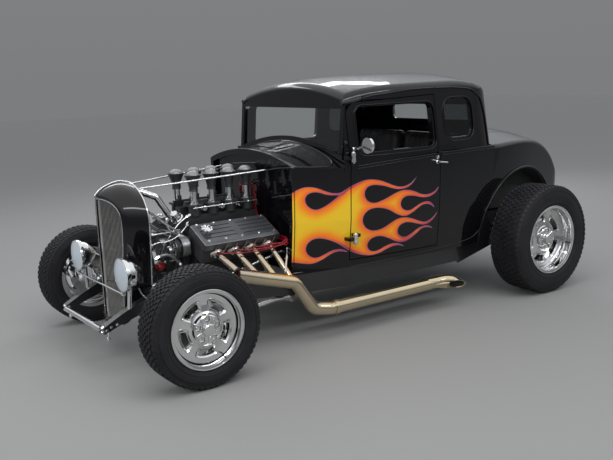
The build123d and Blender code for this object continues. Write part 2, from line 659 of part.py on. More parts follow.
def knuckle():
    """The left knuckle: kingpin, lugs, spindle, steering arm and brake caliper."""
    foot = Pos(*at(0, KINGPIN_Y, KNUCKLE_Z))
    lug_z = BOSS_H / 2 + LUG_GAP + LUG_T / 2
    part = foot * Cylinder(KINGPIN_R, 2 * lug_z + LUG_T)
    for sign in (1, -1):
        lug = Cylinder(BOSS_R, LUG_T) + Pos(0, 26, 0) * Box(44, 52, LUG_T)
        part = part + foot * Pos(0, 0, sign * lug_z) * lug
    web = foot * Pos(0, 41, 0) * Box(44, 18, 2 * lug_z + LUG_T)
    spindle = rod((0, KINGPIN_Y + 40, KNUCKLE_Z), (0, FRONT_RIM_FACE_Y - FRONT_DISH + 40, KNUCKLE_Z),
                  SPINDLE_R)
    arm_z = KNUCKLE_Z - lug_z
    arm = block(-ARM_LENGTH, -18, KINGPIN_Y - 12, KINGPIN_Y + 12, arm_z - 7, arm_z + 7)
    eye = Pos(*at(-ARM_LENGTH, KINGPIN_Y, arm_z)) * Cylinder(17, 14)
    pin = Pos(*at(-ARM_LENGTH, KINGPIN_Y, arm_z + 20)) * Cylinder(7, 40)
    part = part + web + spindle + arm + eye + pin + caliper()
    return part


def tie_rod():
    """The rod between the steering arms, with an eye over each arm's pin."""
    z = TIE_ROD_Z
    bar = rod((-ARM_LENGTH, -KINGPIN_Y + 18, z), (-ARM_LENGTH, KINGPIN_Y - 18, z), TIE_ROD_R)
    for side in (1, -1):
        eye_at = Pos(*at(-ARM_LENGTH, side * KINGPIN_Y, z))
        bar = bar + eye_at * Cylinder(19, 24)
    for side in (1, -1):
        eye_at = Pos(*at(-ARM_LENGTH, side * KINGPIN_Y, z))
        bar = bar - eye_at * Cylinder(8, 60)
    return bar


def front_suspension():
    """Spring, radius rods and shock absorbers of the front axle."""
    leaves = []
    top = SPRING_TOP_Z
    for half in LEAF_HALF:
        leaves.append(leaf(half, top).solid())
        top -= LEAF_T + FIT
    rods = []
    for start_z in (AXLE_Z + 12, AXLE_Z - 32):
        rods.append(pipe([(-4, 470, start_z), (-120, 470, start_z), (-690, 452, 262)], 200, 10))
    clevis = rod((-660, 453, 262), (-742, 450, 262), 15)
    bracket = block(-30, 22, 455, 485, AXLE_Z - 44, AXLE_Z + 52)
    hairpin = rods[0] + rods[1] + clevis + bracket - front_axle()
    mount = block(-775, -742, 430, 500, 240, 275.7)
    hairpin = hairpin + mount
    end_z = SPRING_TOP_Z - SPRING_DROP - LEAF_T
    perch = block(-18, 18, 408, 430, AXLE_Z, end_z - FIT) - front_axle()
    pieces = leaves
    for piece in (hairpin, perch, front_shock()):
        pieces += list(both(piece).solids())
    return {"front_suspension": Compound(children=pieces)}


def wheel_window(inner_r, inner_half, outer_r, outer_half, corner):
    """A rounded window outline above the hub, with curved inner and outer edges."""
    low, high = math.sqrt(inner_r ** 2 - inner_half ** 2), math.sqrt(outer_r ** 2 - outer_half ** 2)
    a, b = (-inner_half, low), (inner_half, low)
    c, d = (outer_half, high), (-outer_half, high)
    ring = [ThreePointArc(a, (0, inner_r), b), Line(b, c), ThreePointArc(c, (0, outer_r), d), Line(d, a)]
    outline = Face(Wire(ring))
    return Plane.XZ * outline.fillet_2d(corner, outline.vertices())


def wheel_rim(radius, width, dish):
    """A wheel turned about Y, outer rim plane at y = 0 and outboard towards +Y."""
    r = radius
    wall = RIM_WALL
    rim = [(0, r), (-9, r), (-12, r - 11), (-40, r - 13), (-58, r - 24), (-width + 50, r - 24),
           (-width + 34, r - 13), (-width + 12, r - 11), (-width + 9, r), (-width, r),
           (-width, r - 13 - wall), (-width + 34, r - 15 - wall), (-width + 50, r - 24 - wall),
           (-58, r - 24 - wall), (-40, r - 14 - wall), (-14, r - 14 - wall), (-4, r - 9 - wall), (0, r - 5)]
    shell = turned(rim)
    inner = r - 23 - wall
    face = -dish
    bore = SPINDLE_R + FIT
    disc = turned([(face, inner + 2), (face - 20, inner + 2), (face - 26, inner - 40), (face - 10, 84),
                   (face - 10, bore), (face + 28, bore), (face + 28, 70), (face + 23, 77),
                   (face + 8, 82), (face + 2, 92), (face - 4, inner * 0.75), (face, inner - 8)])
    wheel = shell + disc
    for r0, half0, r1, half1, depth, corner in WINDOW_CUTS:
        outline = wheel_window(r0 * inner, half0 * inner, r1 * inner, half1 * inner, corner)
        cut = Pos(0, face + 40, 0) * extrude(outline, amount=40 + depth, dir=(0, -1, 0))
        for index in range(WINDOWS):
            wheel = wheel - Rot(0, index * 360 / WINDOWS, 0) * cut
    for index in range(WINDOWS):
        place = Rot(0, (index + 0.5) * 360 / WINDOWS, 0) * Pos(0, face + 28, LUG_CIRCLE_R) * Rot(90, 0, 0)
        wheel = wheel - place * Cylinder(LUG_POCKET_R, 24) + place * Pos(0, 0, 9) * Cylinder(7, 8)
    cap = turned([(face + 27, bore), (face + 27, 36), (face + 46, 34), (face + 50, 29), (face + 52, 0),
                  (face + 49, 0), (face + 49, bore)])
    return wheel + cap


def brake_disc():
    """The left front brake disc with its hat, turned about the spindle."""
    hub_y = FRONT_RIM_FACE_Y - FRONT_DISH - 10
    profile = [(BRAKE_Y + BRAKE_T / 2, BRAKE_R), (BRAKE_Y - BRAKE_T / 2, BRAKE_R), (BRAKE_Y - BRAKE_T / 2, SPINDLE_R + FIT),
               (hub_y - FIT, SPINDLE_R + FIT), (hub_y - FIT, 62), (BRAKE_Y + BRAKE_T / 2, 68)]
    return Pos(*at(0, 0, KNUCKLE_Z)) * turned(profile)


def caliper():
    """The caliper on the knuckle's bracket, straddling the disc's front."""
    body = block(66, 158, BRAKE_Y - 30, BRAKE_Y + 30, KNUCKLE_Z + 2, KNUCKLE_Z + 98)
    body = chamfer(body.edges().filter_by(Axis.Y), 16)
    ring = Pos(*at(0, BRAKE_Y, KNUCKLE_Z)) * Rot(90, 0, 0)
    body = body & ring * Cylinder(164, 100)
    slot = ring * Cylinder(BRAKE_R + 7, BRAKE_T + 10)
    plate = block(0, 96, KINGPIN_Y + 32, KINGPIN_Y + 46, KNUCKLE_Z - 20, KNUCKLE_Z + 70)
    arm = block(66, 96, KINGPIN_Y + 32, BRAKE_Y - 20, KNUCKLE_Z + 30, KNUCKLE_Z + 70)
    return body - slot + plate + arm


def tyre(radius, width, rim_r, rim_w):
    """A tyre turned about Y, seated on a rim whose outer plane is y = 0."""
    out, inn = TYRE_BULGE, -rim_w - TYRE_BULGE
    seat = rim_r - 11 + FIT
    mid = (radius + rim_r) / 2
    shoulder = 16
    tread_out, tread_in = out - 12, inn + 12
    span = (tread_out - tread_in - 2 * shoulder)
    profile = [(-12 - FIT, seat), (-9 + FIT, rim_r + 4), (6, rim_r + 12), (out, mid), (tread_out + 4, radius - 22),
               (tread_out - shoulder, radius - 2)]
    for groove in (1, 2):
        y = tread_out - shoulder - groove * span / 3
        profile += [(y + 5, radius), (y + 4, radius - 7), (y - 4, radius - 7), (y - 5, radius)]
    profile += [(tread_in + shoulder, radius - 2), (tread_in - 4, radius - 22), (inn, mid),
                (-rim_w - 6, rim_r + 12), (-rim_w + 9 - FIT, rim_r + 4), (-rim_w + 12 + FIT, seat), (-rim_w + 34, seat),
                (-rim_w / 2, mid), (-34, seat)]
    return turned(profile)


def wheel_nodes():
    """Four wheels and tyres at their places."""
    nodes = {}
    sizes = (("front", 0, FRONT_TYRE_R, FRONT_TYRE_W, FRONT_RIM_R, FRONT_RIM_FACE_Y, FRONT_DISH, 36),
             ("rear", -WHEELBASE, REAR_TYRE_R, REAR_TYRE_W, REAR_RIM_R, REAR_RIM_FACE_Y, REAR_DISH, 18))
    for end, x, radius, width, rim_r, face_y, dish, turn in sizes:
        rim_w = width - 2 * TYRE_BULGE
        place = Pos(*at(x, face_y, radius))
        wheel = place * Rot(0, turn, 0) * wheel_rim(rim_r, rim_w, dish)
        rubber = place * tyre(radius, width, rim_r, rim_w)
        for name, left in (("wheel", wheel), ("tyre", rubber)):
            nodes["%s_%s_left" % (name, end)] = left
            nodes["%s_%s_right" % (name, end)] = mirror(left, about=Plane.XZ)
    nodes["brake_disc_left"] = brake_disc()
    nodes["brake_disc_right"] = mirror(brake_disc(), about=Plane.XZ)
    return nodes


@lru_cache(maxsize=None)
def rear_axle():
    """The live axle: tubes, centre casing and hub flanges, up to the wheels."""
    z = REAR_TYRE_R
    hub_y = REAR_RIM_FACE_Y - REAR_DISH - 40
    tube = rod((-WHEELBASE, -hub_y, z), (-WHEELBASE, hub_y, z), 36)
    casing = Pos(*at(-WHEELBASE, 0, z)) * (Sphere(128) & Box(240, 200, 300))
    nose = Pos(*at(-WHEELBASE + 175, 0, z)) * Rot(0, 90, 0) * Cone(78, 46, 130)
    ends = rod((-WHEELBASE, -hub_y - 60, z), (-WHEELBASE, hub_y + 60, z), SPINDLE_R)
    shaft = rod((GEARBOX_TAIL_X - 1, 0, DRIVE_Z), (-WHEELBASE + 235, 0, z), 32)
    return tube + casing + nose + ends + shaft


# Rear suspension and drive line


def rear_suspension():
    """Coil-over units standing on the axle, and the ladder bars ahead of it."""
    z = REAR_TYRE_R
    foot = (-WHEELBASE - 60, REAR_SPRING_Y, z - 30)
    head = (-WHEELBASE - 98, REAR_SPRING_Y, z + 152)
    unit = rod(foot, head, 14)
    axis = at(*head) - at(*foot)
    for share in (0.26, 0.37, 0.48, 0.59, 0.70, 0.81):
        ring = Plane(origin=at(*foot) + axis * share, z_dir=axis) * Cylinder(34, 9)
        unit = unit + ring
    bracket = block(-WHEELBASE - 75, -WHEELBASE - 20, REAR_SPRING_Y - 12, REAR_SPRING_Y + 12, z - 45, z - 15)
    unit = unit + bracket + rod(head, (-2820 + FIT, REAR_SPRING_Y, head[2]), 10)
    bars = rod((-WHEELBASE + 20, LADDER_Y, z + 38), (-1794 - FIT, LADDER_Y, 322), 14)
    bars = bars + rod((-WHEELBASE + 20, LADDER_Y, z - 42), (-1794 - FIT, LADDER_Y, 322), 14)
    bars = bars + block(-WHEELBASE - 10, -WHEELBASE + 46, LADDER_Y - 7, LADDER_Y + 7, z - 60, z + 56)
    axle = rear_axle()
    bars, unit = bars - axle, unit - axle
    ladder = frame_nodes()["frame"]
    bars = bars - ladder
    return {"rear_suspension": Compound(children=list(both(unit).solids()) + list(both(bars).solids()))}


def gearbox():
    """The bell housing and gearbox behind the engine."""
    rows = ((ENGINE_REAR_X, 210, 250), (-980, 150, 190), (-1180, 120, 150), (GEARBOX_TAIL_X, 75, 90))
    faces = []
    for x, width, height in rows:
        plane = Plane(origin=at(x, 0, DRIVE_Z), z_dir=(-1, 0, 0), x_dir=(0, 1, 0))
        faces.append((plane * chamfer(Rectangle(width, height).vertices(), min(width, height) * 0.28)).face())
    return loft(faces, ruled=True)


def front_shock():
    """The left tubular shock absorber between rail and front axle."""
    body = rod((62, 356, 380), (46, 405, 300), 19) + rod((46, 405, 300), (32, 452, 236), 9)
    stub = rod((62, 340, 378), (62, 366, 378), 10) + rod((22, 452, 234), (42, 452, 234), 13)
    shock = body + stub - frame_nodes()["frame"] - front_axle()
    return biggest(shock)


def steering_box():
    """The steering box on the left rail with its shaft back to the firewall."""
    shaft = rod((-250, 290, 372), (FIREWALL_X - 26 + FIT, 296, 500), 9) - firewall()
    box = block(-262, -170, 255, 300, 296, 388)
    return biggest(box + shaft - engine_nodes()["engine"] - frame_nodes()["frame"])


def fuel_tank():
    """The tank slung between the rails behind the axle."""
    tank = block(-3180, -2905, -372, 372, 395, 540)
    tank = fillet([edge for edge in tank.edges() if edge.bounding_box().size.Y > 500], 40)
    straps = block(-2985, -2950, -400, 400, 440, 470) + block(-3120, -3085, -400, 400, 435, 460)
    straps = straps - frame_nodes()["frame"]
    return biggest(tank + straps)


# Engine


def engine_block():
    """The crankcase, sump, vee and front cover."""
    outline = [(-70, 250), (70, 250), (125, 330), (150, 420), (150, 470), (285, 560), (225, 665),
               (60, 640), (-60, 640), (-225, 665), (-285, 560), (-150, 470), (-150, 420), (-125, 330)]
    face = make_face(Polyline(*[at(ENGINE_REAR_X, y, z) for y, z in outline], close=True))
    case = extrude(face, amount=ENGINE_FRONT_X - 60 - ENGINE_REAR_X, dir=(1, 0, 0))
    cover = block(ENGINE_FRONT_X - 60, ENGINE_FRONT_X - 18, -120, 120, 320, 600)
    cover = fillet([edge for edge in cover.edges() if edge.bounding_box().size.X > 30], 34)
    return case + cover


def on_bank(solid, lift):
    """Put a piece, made flat at the origin, on the left bank, tilted outwards."""
    return Pos(*at((ENGINE_FRONT_X + ENGINE_REAR_X) / 2 - 5, HEAD_Y, HEAD_Z)) \
        * Rot(-HEAD_TILT, 0, 0) * Pos(0, 0, lift) * solid


@lru_cache(maxsize=None)
def engine_nodes():
    """The engine block with its heads, the grooved valve covers and the ram manifold."""
    length = ENGINE_FRONT_X - ENGINE_REAR_X - 60
    head = on_bank(Box(length, COVER_W - 16, HEAD_H), -HEAD_H / 2)
    cover = Box(length - 8, COVER_W, COVER_T)
    cover = chamfer(cover.faces().sort_by(Axis.Z)[-1].edges(), 14)
    for group in (-1, 1):
        for index in range(4):
            groove = Pos(group * length / 4, -52 + index * 35, COVER_T / 2) * Box(length / 2 - 44, 7, 8)
            cover = cover - groove
    cover = on_bank(cover, COVER_T / 2)
    breather = on_bank(Pos(length / 2 - 55, 0, COVER_T) * Cylinder(17, 24), 4)
    cover = cover + breather
    shift = Pos(BANK_OFFSET, 0, 0)
    right_head = shift * mirror(head, about=Plane.XZ)
    right_cover = shift * mirror(cover, about=Plane.XZ)
    engine = engine_block() + head + right_head - cover - right_cover
    covers = Compound(children=list(cover.solids()) + list(right_cover.solids()))
    return {"engine": engine, "valve_covers": covers, **stack_nodes(engine, covers)}


def stack_nodes(engine, covers):
    """The ram-tube manifold and its eight stacks."""
    manifold = block(STACK_X[-1] - 50, STACK_X[0] + 50 + BANK_OFFSET, -112, 112, 640, MANIFOLD_TOP_Z)
    manifold = manifold + block(STACK_X[-1] - 10, STACK_X[0] + 44 + BANK_OFFSET, -100, 100, MANIFOLD_TOP_Z,
                                THROTTLE_FOOT_Z)
    spine = block(STACK_X[-1] + 8, STACK_X[0] + 44 + BANK_OFFSET, -28, 28, THROTTLE_FOOT_Z, SPINE_Z)
    manifold = manifold + spine
    tubes, horns, domes = [], [], []
    for side in (1, -1):
        for x in STACK_X:
            x_here = x + (BANK_OFFSET if side < 0 else 0)
            foot = Pos(*at(x_here, side * STACK_Y, 0))
            rise = STACK_FOOT_Z - THROTTLE_FOOT_Z
            body = foot * Pos(0, 0, THROTTLE_FOOT_Z + rise / 2) * Cylinder(THROTTLE_R, rise)
            flange = foot * Pos(0, 0, STACK_FOOT_Z - 5) * Box(84, 66, 10)
            manifold = manifold + body + flange
            height = STACK_TUBE_TOP_Z - STACK_FOOT_Z
            tubes.append((foot * Pos(0, 0, STACK_FOOT_Z + height / 2) * Cylinder(STACK_TUBE_R, height)).solid())
            horns.append(trumpet(foot).solid())
            domes.append(dome(foot).solid())
    for rail in fuel_rails():
        manifold = manifold + rail
    manifold = manifold - engine - covers
    return {"ram_manifold": manifold, "stack_tubes": Compound(children=tubes),
            "stack_horns": Compound(children=horns), "stack_screens": Compound(children=domes)}


def about_z(points):
    """A solid turned about the Z axis from (z, radius) points."""
    face = make_face(Polyline(*[(radius, 0, z) for z, radius in points], close=True))
    return revolve(face, axis=Axis.Z)


def trumpet(foot):
    """One flared horn with a flat rim turned in at its mouth, open at both ends."""
    low, high, lip = STACK_TUBE_TOP_Z, STACK_RIM_Z, STACK_HORN_R
    outer = [(low + rise, radius) for rise, radius in HORN_FLARE] + [(high - 4, lip), (high, lip)]
    inner = [(low + rise, radius - HORN_WALL) for rise, radius in reversed(HORN_FLARE[1:])]
    mouth = [(high, DOME_R - 2 * SCREEN_WALL), (high - HORN_WALL, DOME_R - 2 * SCREEN_WALL)]
    return foot * about_z(outer + mouth + [(high - HORN_WALL, lip - HORN_WALL)] + inner + [(low, STACK_TUBE_R)])


def dome(foot):
    """The domed wire screen over a horn, as one thin shell."""
    outer = [(STACK_RIM_Z + rise, DOME_R * share) for share, rise in DOME_RISE]
    inner = [(STACK_RIM_Z + max(rise - SCREEN_WALL, 0), DOME_R * share - SCREEN_WALL)
             for share, rise in reversed(DOME_RISE)]
    top = [(STACK_RIM_Z + DOME_TOP, 0), (STACK_RIM_Z + DOME_TOP - SCREEN_WALL, 0)]
    return foot * about_z(outer + top + inner)


def header_nodes():
    """Four primaries a side, their collector and the side pipe."""
    collector = pipe([(-360, 548, 478), (-560, 555, 420), (-735, 565, 372), (-845, 592, 200),
                      (-960, 606, COLLECTOR_Z), (-1780, 606, COLLECTOR_Z), (-1990, 632, 156)], 62, COLLECTOR_R)
    bore = rod((-1900, 622, 166), (-2003, 634, 154), COLLECTOR_R - 3)
    joint = rod((-975, 606, COLLECTOR_Z), (-1003, 606, COLLECTOR_Z), COLLECTOR_R + 6)
    side = collector + joint - bore
    for x in PRIMARY_X:
        drop_z = 470 + (x + 385) * 0.29
        primary = pipe([(x + 22, 298, PORT_Z - 8), (x + 22, 372, PORT_Z - 40), (x - 20, 520, drop_z)], 40, PRIMARY_R)
        side = side + primary
    engine, ladder = engine_nodes()["engine"], frame_nodes()["frame"]
    left = side - engine - ladder
    right = mirror(side, about=Plane.XZ) - engine - ladder
    return {"exhausts": Compound(children=[biggest(left), biggest(right)])}


def biggest(shape):
    """The largest solid of a shape."""
    return shape.solids().sort_by(SortBy.VOLUME)[-1]


def front_drive():
    """Water pump, pulleys, alternator and their bracket."""
    back = ENGINE_FRONT_X - 18
    parts = block(back, PUMP_X, -60, 60, 500, 620) + block(back, back + 18, -200, 225, 560, 660)
    parts = parts + rod((back, 0, 345), (PUMP_X, 0, 345), 30)
    for y, z, radius in PULLEYS:
        parts = parts + rod((PUMP_X, y, z), (PUMP_X + 28, y, z), radius)
        parts = parts + rod((back + 10, y, z), (PUMP_X + 34, y, z), 16)
    parts = parts + rod((back + 14, 190, 606), (PUMP_X - 3, 190, 606), 60)
    engine = engine_nodes()["engine"]
    return parts - engine


def drive_belt():
    """The belt round the crank, alternator and idler pulleys."""
    circles = []
    for y, z, radius in (PULLEYS[0], PULLEYS[2], PULLEYS[3]):
        circles += (Pos(y, z) * Circle(radius + BELT_T)).edges()
    outline = make_hull(circles)
    plane = Plane(origin=at(PUMP_X + 5, 0, 0), z_dir=(1, 0, 0), x_dir=(0, 1, 0))
    ring = extrude(plane * outline, amount=BELT_ROW) - extrude(plane * offset(outline, -BELT_T + FIT), amount=BELT_ROW)
    return ring - front_drive()


def distributor():
    """The distributor standing behind the stacks, with a ring of towers."""
    x, z = DISTRIBUTOR_X, MANIFOLD_TOP_Z
    parts = rod((x, 0, z), (x, 0, z + 40), 20) + rod((x, 0, z + 40), (x, 0, z + 88), 36)
    for index in range(8):
        angle = math.radians(index * 45)
        tower_x, tower_y = x + 25 * math.cos(angle), 25 * math.sin(angle)
        parts = parts + rod((tower_x, tower_y, z + 80), (tower_x, tower_y, z + 106), 6)
    return parts + rod((x, 0, z + 80), (x, 0, z + 106), 7)


def fuel_rails():
    """A rail along each row of stacks, with an injector cup at every tube."""
    pieces = []
    for side in (1, -1):
        shift = BANK_OFFSET if side < 0 else 0
        y = side * (STACK_Y - 36)
        rail = block(STACK_X[-1] - 15 + shift, STACK_X[0] + 45 + shift, y - 8, y + 8, STACK_FOOT_Z, STACK_FOOT_Z + 18)
        for x in STACK_X:
            cup = rod((x + shift, y, STACK_FOOT_Z + 8), (x + shift, y, STACK_FOOT_Z + 44), 10)
            rail = rail + cup
        pieces.append(rail)
    return pieces


# Grille shell, radiator and lamps


def shell_plan(z, half_scale, inset):
    """The shell's plan outline at one height."""
    a, b, c, d = SHELL_PLAN
    prow = at(a[0] - inset, 0, z)
    side = at(b[0] - inset, b[1] * half_scale - inset, z)
    hip = at(c[0] - inset, c[1] * half_scale - inset, z)
    rear = at(d[0], d[1] * half_scale - inset, z)
    other = [Vector(p.X, -p.Y, z) for p in (side, hip, rear)]
    ring = [Line(prow, side), Line(side, hip), Line(hip, rear), Line(rear, other[2]),
            Line(other[2], other[1]), Line(other[1], other[0]), Line(other[0], prow)]
    return Face(Wire(ring))


def shell_front_view(inset):
    """The shell from the front, arched over round shoulders, as a block along the car."""
    x = SHELL_FRONT_X + 60
    half, low_half = SHELL_HALF - inset, SHELL_LOW_HALF - inset
    low, top, eaves = SHELL_LOW_Z + inset, SHELL_TOP_Z - inset, SHELL_EAVES_Z - inset * 0.7
    left_low, left_high = at(x, low_half, low), at(x, half, eaves)
    right_high, right_low = at(x, -half, eaves), at(x, -low_half, low)
    crown = ThreePointArc(left_high, at(x, 0, top), right_high)
    sides = [Line(left_low, left_high), Line(right_high, right_low), Line(right_low, left_low)]
    outline = Face(Wire([sides[0], crown, sides[1], sides[2]]))
    shoulders = [corner for corner in outline.vertices() if corner.Z > eaves - 1]
    outline = outline.fillet_2d(SHELL_SHOULDER_R - inset, shoulders)
    return extrude(outline, amount=400, dir=(-1, 0, 0))


def vee_strip(front, back, half, low, high):
    """A vee'd strip in plan between two setbacks, from one height to another."""
    fall = GRILLE_SLOPE * half
    ring = [(GRILLE_X - front, 0), (GRILLE_X - front - fall, half), (GRILLE_X - back - fall, half),
            (GRILLE_X - back, 0), (GRILLE_X - back - fall, -half), (GRILLE_X - front - fall, -half)]
    face = make_face(Polyline(*[at(x, y, low) for x, y in ring], close=True))
    return extrude(face, amount=high - low, dir=(0, 0, 1))


def grille_bars():
    """The grille: upright bars between a border and a centre strip, tied by bands behind."""
    opening = shell_front_view(SHELL_WALL + FIT)
    sheet = vee_strip(0, GRILLE_DEPTH, SHELL_HALF, SHELL_LOW_Z, SHELL_TOP_Z) & opening
    border = sheet - shell_front_view(SHELL_WALL + GRILLE_BORDER)
    pieces = []
    for index in range(-int(SHELL_HALF / GRILLE_PITCH), int(SHELL_HALF / GRILLE_PITCH) + 1):
        y = index * GRILLE_PITCH
        x = GRILLE_X - GRILLE_SLOPE * abs(y)
        half = GRILLE_BAR / 2 if index else 8
        pieces.append(block(x - GRILLE_DEPTH + 2, x, y - half, y + half, SHELL_LOW_Z, SHELL_TOP_Z))
    for z in GRILLE_BANDS:
        pieces.append(vee_strip(GRILLE_DEPTH - 3, GRILLE_DEPTH + 3, SHELL_HALF, z - 4, z + 4))
    inside = pieces[0].fuse(*pieces[1:]) & opening
    return border.fuse(*inside.solids())


def grille_nodes():
    """The shell, the vee'd grille in it and the radiator behind."""
    low_scale = SHELL_LOW_HALF / SHELL_HALF
    tall = loft([shell_plan(SHELL_LOW_Z, low_scale, 0), shell_plan(SHELL_TOP_Z + 20, 1.02, 0)], ruled=True)
    slope = side_prism([(SHELL_FRONT_X + 40, 920), (SHELL_FRONT_X - 8, 948), (62, SHELL_TOP_Z + 2),
                        (SHELL_REAR_X - 5, 978), (SHELL_REAR_X - 5, 0), (SHELL_FRONT_X + 40, 0)], -FAR, FAR)
    outer = tall & shell_front_view(0) & slope
    shell = outer - shell_front_view(SHELL_WALL) - block(-60, 62, -FAR, FAR, 0, 402)
    radiator = block(8, 78, -178, 178, CROSS_TOP_Z, 880) + block(6, 62, -110, 110, 880, 955)
    radiator = biggest(radiator - shell)
    return {"grille_shell": shell, "shell_trim": shell_trim(outer), "grille": grille_bars(), "radiator": radiator}


def shell_trim(outer):
    """The bright strip over the crown and the bright lip at the opening's foot."""
    strip = block(SHELL_REAR_X + 2, 150, -5, 5, 900, 1100)
    lift = side_prism([(148, 900), (148, 948), (62, SHELL_TOP_Z + 6), (SHELL_REAR_X + 2, 984),
                       (SHELL_REAR_X + 2, 900)], -FAR, FAR)
    strip = (strip & lift) - outer
    return biggest(strip)


def lamp_nodes():
    """Headlamp buckets with their stands, lenses, and the bar between the lamps."""
    plane = [(0, LAMP_R - 4), (0, LAMP_R), (-10, LAMP_R + 2), (-22, LAMP_R), (-26, LAMP_R - 8), (-60, LAMP_R - 18),
             (-95, LAMP_R - 48), (-LAMP_LENGTH, 14), (-LAMP_LENGTH, 0), (-20, 0), (-20, LAMP_R - 12)]
    face = make_face(Polyline(*[(x, r, 0) for x, r in plane], close=True))
    bucket = Pos(*at(LAMP_X, LAMP_Y, LAMP_Z)) * revolve(face, axis=Axis.X)
    stand = rod((LAMP_X - 45, LAMP_Y, LAMP_Z - LAMP_R + 25), (LAMP_X - 45, LAMP_Y - 30, 318), 12)
    foot = block(LAMP_X - 75, LAMP_X - 20, LAMP_Y - 50, LAMP_Y - 12, 306, 322)
    bucket = bucket + stand
    lens = [(-18, 0), (-18, LAMP_R - 13), (0, LAMP_R - 5), (6, LAMP_R - 20), (13, 40), (16, 0)]
    glass_face = make_face(Polyline(*[(x, r, 0) for x, r in lens], close=True))
    lens_solid = Pos(*at(LAMP_X, LAMP_Y, LAMP_Z)) * revolve(glass_face, axis=Axis.X)
    bar = rod((BAR_X, -LAMP_Y, BAR_Z), (BAR_X, LAMP_Y, BAR_Z), 5)
    for side in (1, -1):
        tab = block(BAR_X - 12, BAR_X + 6, side * LAMP_Y - 8, side * LAMP_Y + 8, BAR_Z - 6, LAMP_Z - LAMP_R + 1)
        bar = bar + tab
    lamps = both(bucket - lens_solid)
    lamps = lamps.solids()[0] + lamps.solids()[1] + bar
    return {"headlamps": lamps - frame_nodes()["frame"] - both(lens_solid), "headlamp_lenses": both(lens_solid)}


def stay_rods():
    """The two thin stays from the shell to the firewall, and the struts to the engine."""
    stays = []
    bulkhead, engine = firewall(), engine_nodes()["engine"]
    drive = front_drive()
    for side in (1, -1):
        stay = rod((SHELL_REAR_X - 1, side * 112, 958), (FIREWALL_X - 30, side * 240, 1000), 5) - bulkhead
        stays.append(biggest(stay))
        strut = rod((SHELL_REAR_X + 4, side * 225, 842), (ENGINE_FRONT_X - 20, side * 178, 650), 7)
        behind_shell = block(SHELL_REAR_X - FIT, SHELL_REAR_X + 60, -FAR, FAR, 700, 950)
        stays.append(biggest(strut - engine - drive - behind_shell))
    return Compound(children=stays)


def radiator_hose():
    """The polished top hose from the radiator down to the water neck."""
    return pipe([(5.6, 0, 925), (-60, 0, 925), (-150, 30, 885), (-215, 50, 770), (-262, 50, 744)], 34, 19)


# Cabin fittings

@lru_cache(maxsize=None)
def firewall():
    """The bulkhead set back inside the cowl's lip."""
    zone = block(FIREWALL_X - 26, FIREWALL_X - 34, -FAR, FAR, SILL_Z, ROOF_Z)
    plate = body_sides(WALL + FIT) & arch_block(COWL_ARCH, WALL + FIT) & zone
    return plate - block(0, -2000, -TUNNEL_HALF + 8, TUNNEL_HALF - 8, 0, TUNNEL_Z - 8)


def cabin_floor():
    """The floor with its tunnel, the boot floor behind the seat and the inner tubs."""
    inner = body_sides(WALL + FIT)
    pan = inner & block(FIREWALL_X - 34 - FIT, FLOOR_REAR_X, -FAR, FAR, SILL_Z, SILL_Z + 8)
    boot_half = TUB_Y
    boot = block(FLOOR_REAR_X, -3230, -boot_half, boot_half, BOOT_Z - 8, BOOT_Z)
    riser = inner & block(FLOOR_REAR_X + 8, FLOOR_REAR_X, -FAR, FAR, SILL_Z, BOOT_Z)
    ledge = inner & block(FLOOR_REAR_X, -2240, -FAR, FAR, BOOT_Z - 8, BOOT_Z)
    tunnel = block(FIREWALL_X - 34 - FIT, FLOOR_REAR_X, -TUNNEL_HALF, TUNNEL_HALF, SILL_Z, TUNNEL_Z)
    hollow = block(FIREWALL_X, FLOOR_REAR_X - 20, 8 - TUNNEL_HALF, TUNNEL_HALF - 8, SILL_Z - 5, TUNNEL_Z - 8)
    tubs = wheel_housings()
    return pan + tunnel + riser + boot + ledge + tubs.solids()[0] + tubs.solids()[1] - hollow


def wheel_housings():
    """The inner tubs round the rear wheels."""
    turn = Pos(REAR_AXLE_X, 0, REAR_TYRE_R) * Rot(90, 0, 0)
    ring = turn * (Cylinder(ARCH_R - FIT, 2 * FAR) - Cylinder(ARCH_R - 7, 2 * FAR))
    disc = turn * Cylinder(ARCH_R - FIT, 2 * FAR) & block(-1000, -4000, TUB_Y, TUB_Y + 6, SILL_Z, 2000)
    tub = (ring & block(-1000, -4000, TUB_Y, FAR, SILL_Z, 2000)) + disc
    skin = body_sides(1) & arch_block(DECK_ARCH, WALL + 2)
    tub = tub & skin
    notch = block(-WHEELBASE - 180, -WHEELBASE + 180, 0, 470, 0, BOOT_Z - 8)
    tub = tub - notch - block(-1900, -4000, 0, 452, 0, BOOT_Z - 8) - block(-1900, -2500, 0, 535, 0, 500)
    return both(biggest(tub))


def seat():
    """A bench seat: cushion and backrest, set on the floors."""
    cushion = block(-1500, -1978, -500, 500, SILL_Z + 8 + FIT, 585)
    cushion = fillet([e for e in cushion.edges() if e.bounding_box().max.Z > 580], 34)
    cushion = cushion - block(-1000, -2600, -TUNNEL_HALF - 2, TUNNEL_HALF + 2, 0, TUNNEL_Z + 1)
    back = side_prism([(-1985, BOOT_Z + FIT), (-2110, BOOT_Z + FIT), (-2190, 1150), (-2085, 1165)], -500, 500)
    back = fillet([e for e in back.edges() if e.bounding_box().max.Z > BOOT_Z + 5], 30)
    return Compound(children=[cushion.solid(), back.solid()])


def dashboard():
    """The dash under the screen."""
    outline = [(-1150, 1060), (-1205, 1050), (-1215, 940), (-1190, 905), (-1150, 920)]
    dash = side_prism(outline, -FAR, FAR) & body_sides(DOOR_WALL + 14)
    ledge = block(-1136, -1110, -420, 420, 1030, 1160) & arch_block(COWL_ARCH, WALL)
    ledge = ledge + block(-1156, -1120, -420, 420, 1030, 1050)
    dash = biggest(dash + ledge) - body_nodes()["cowl"]
    return biggest(dash - column_bar(20))


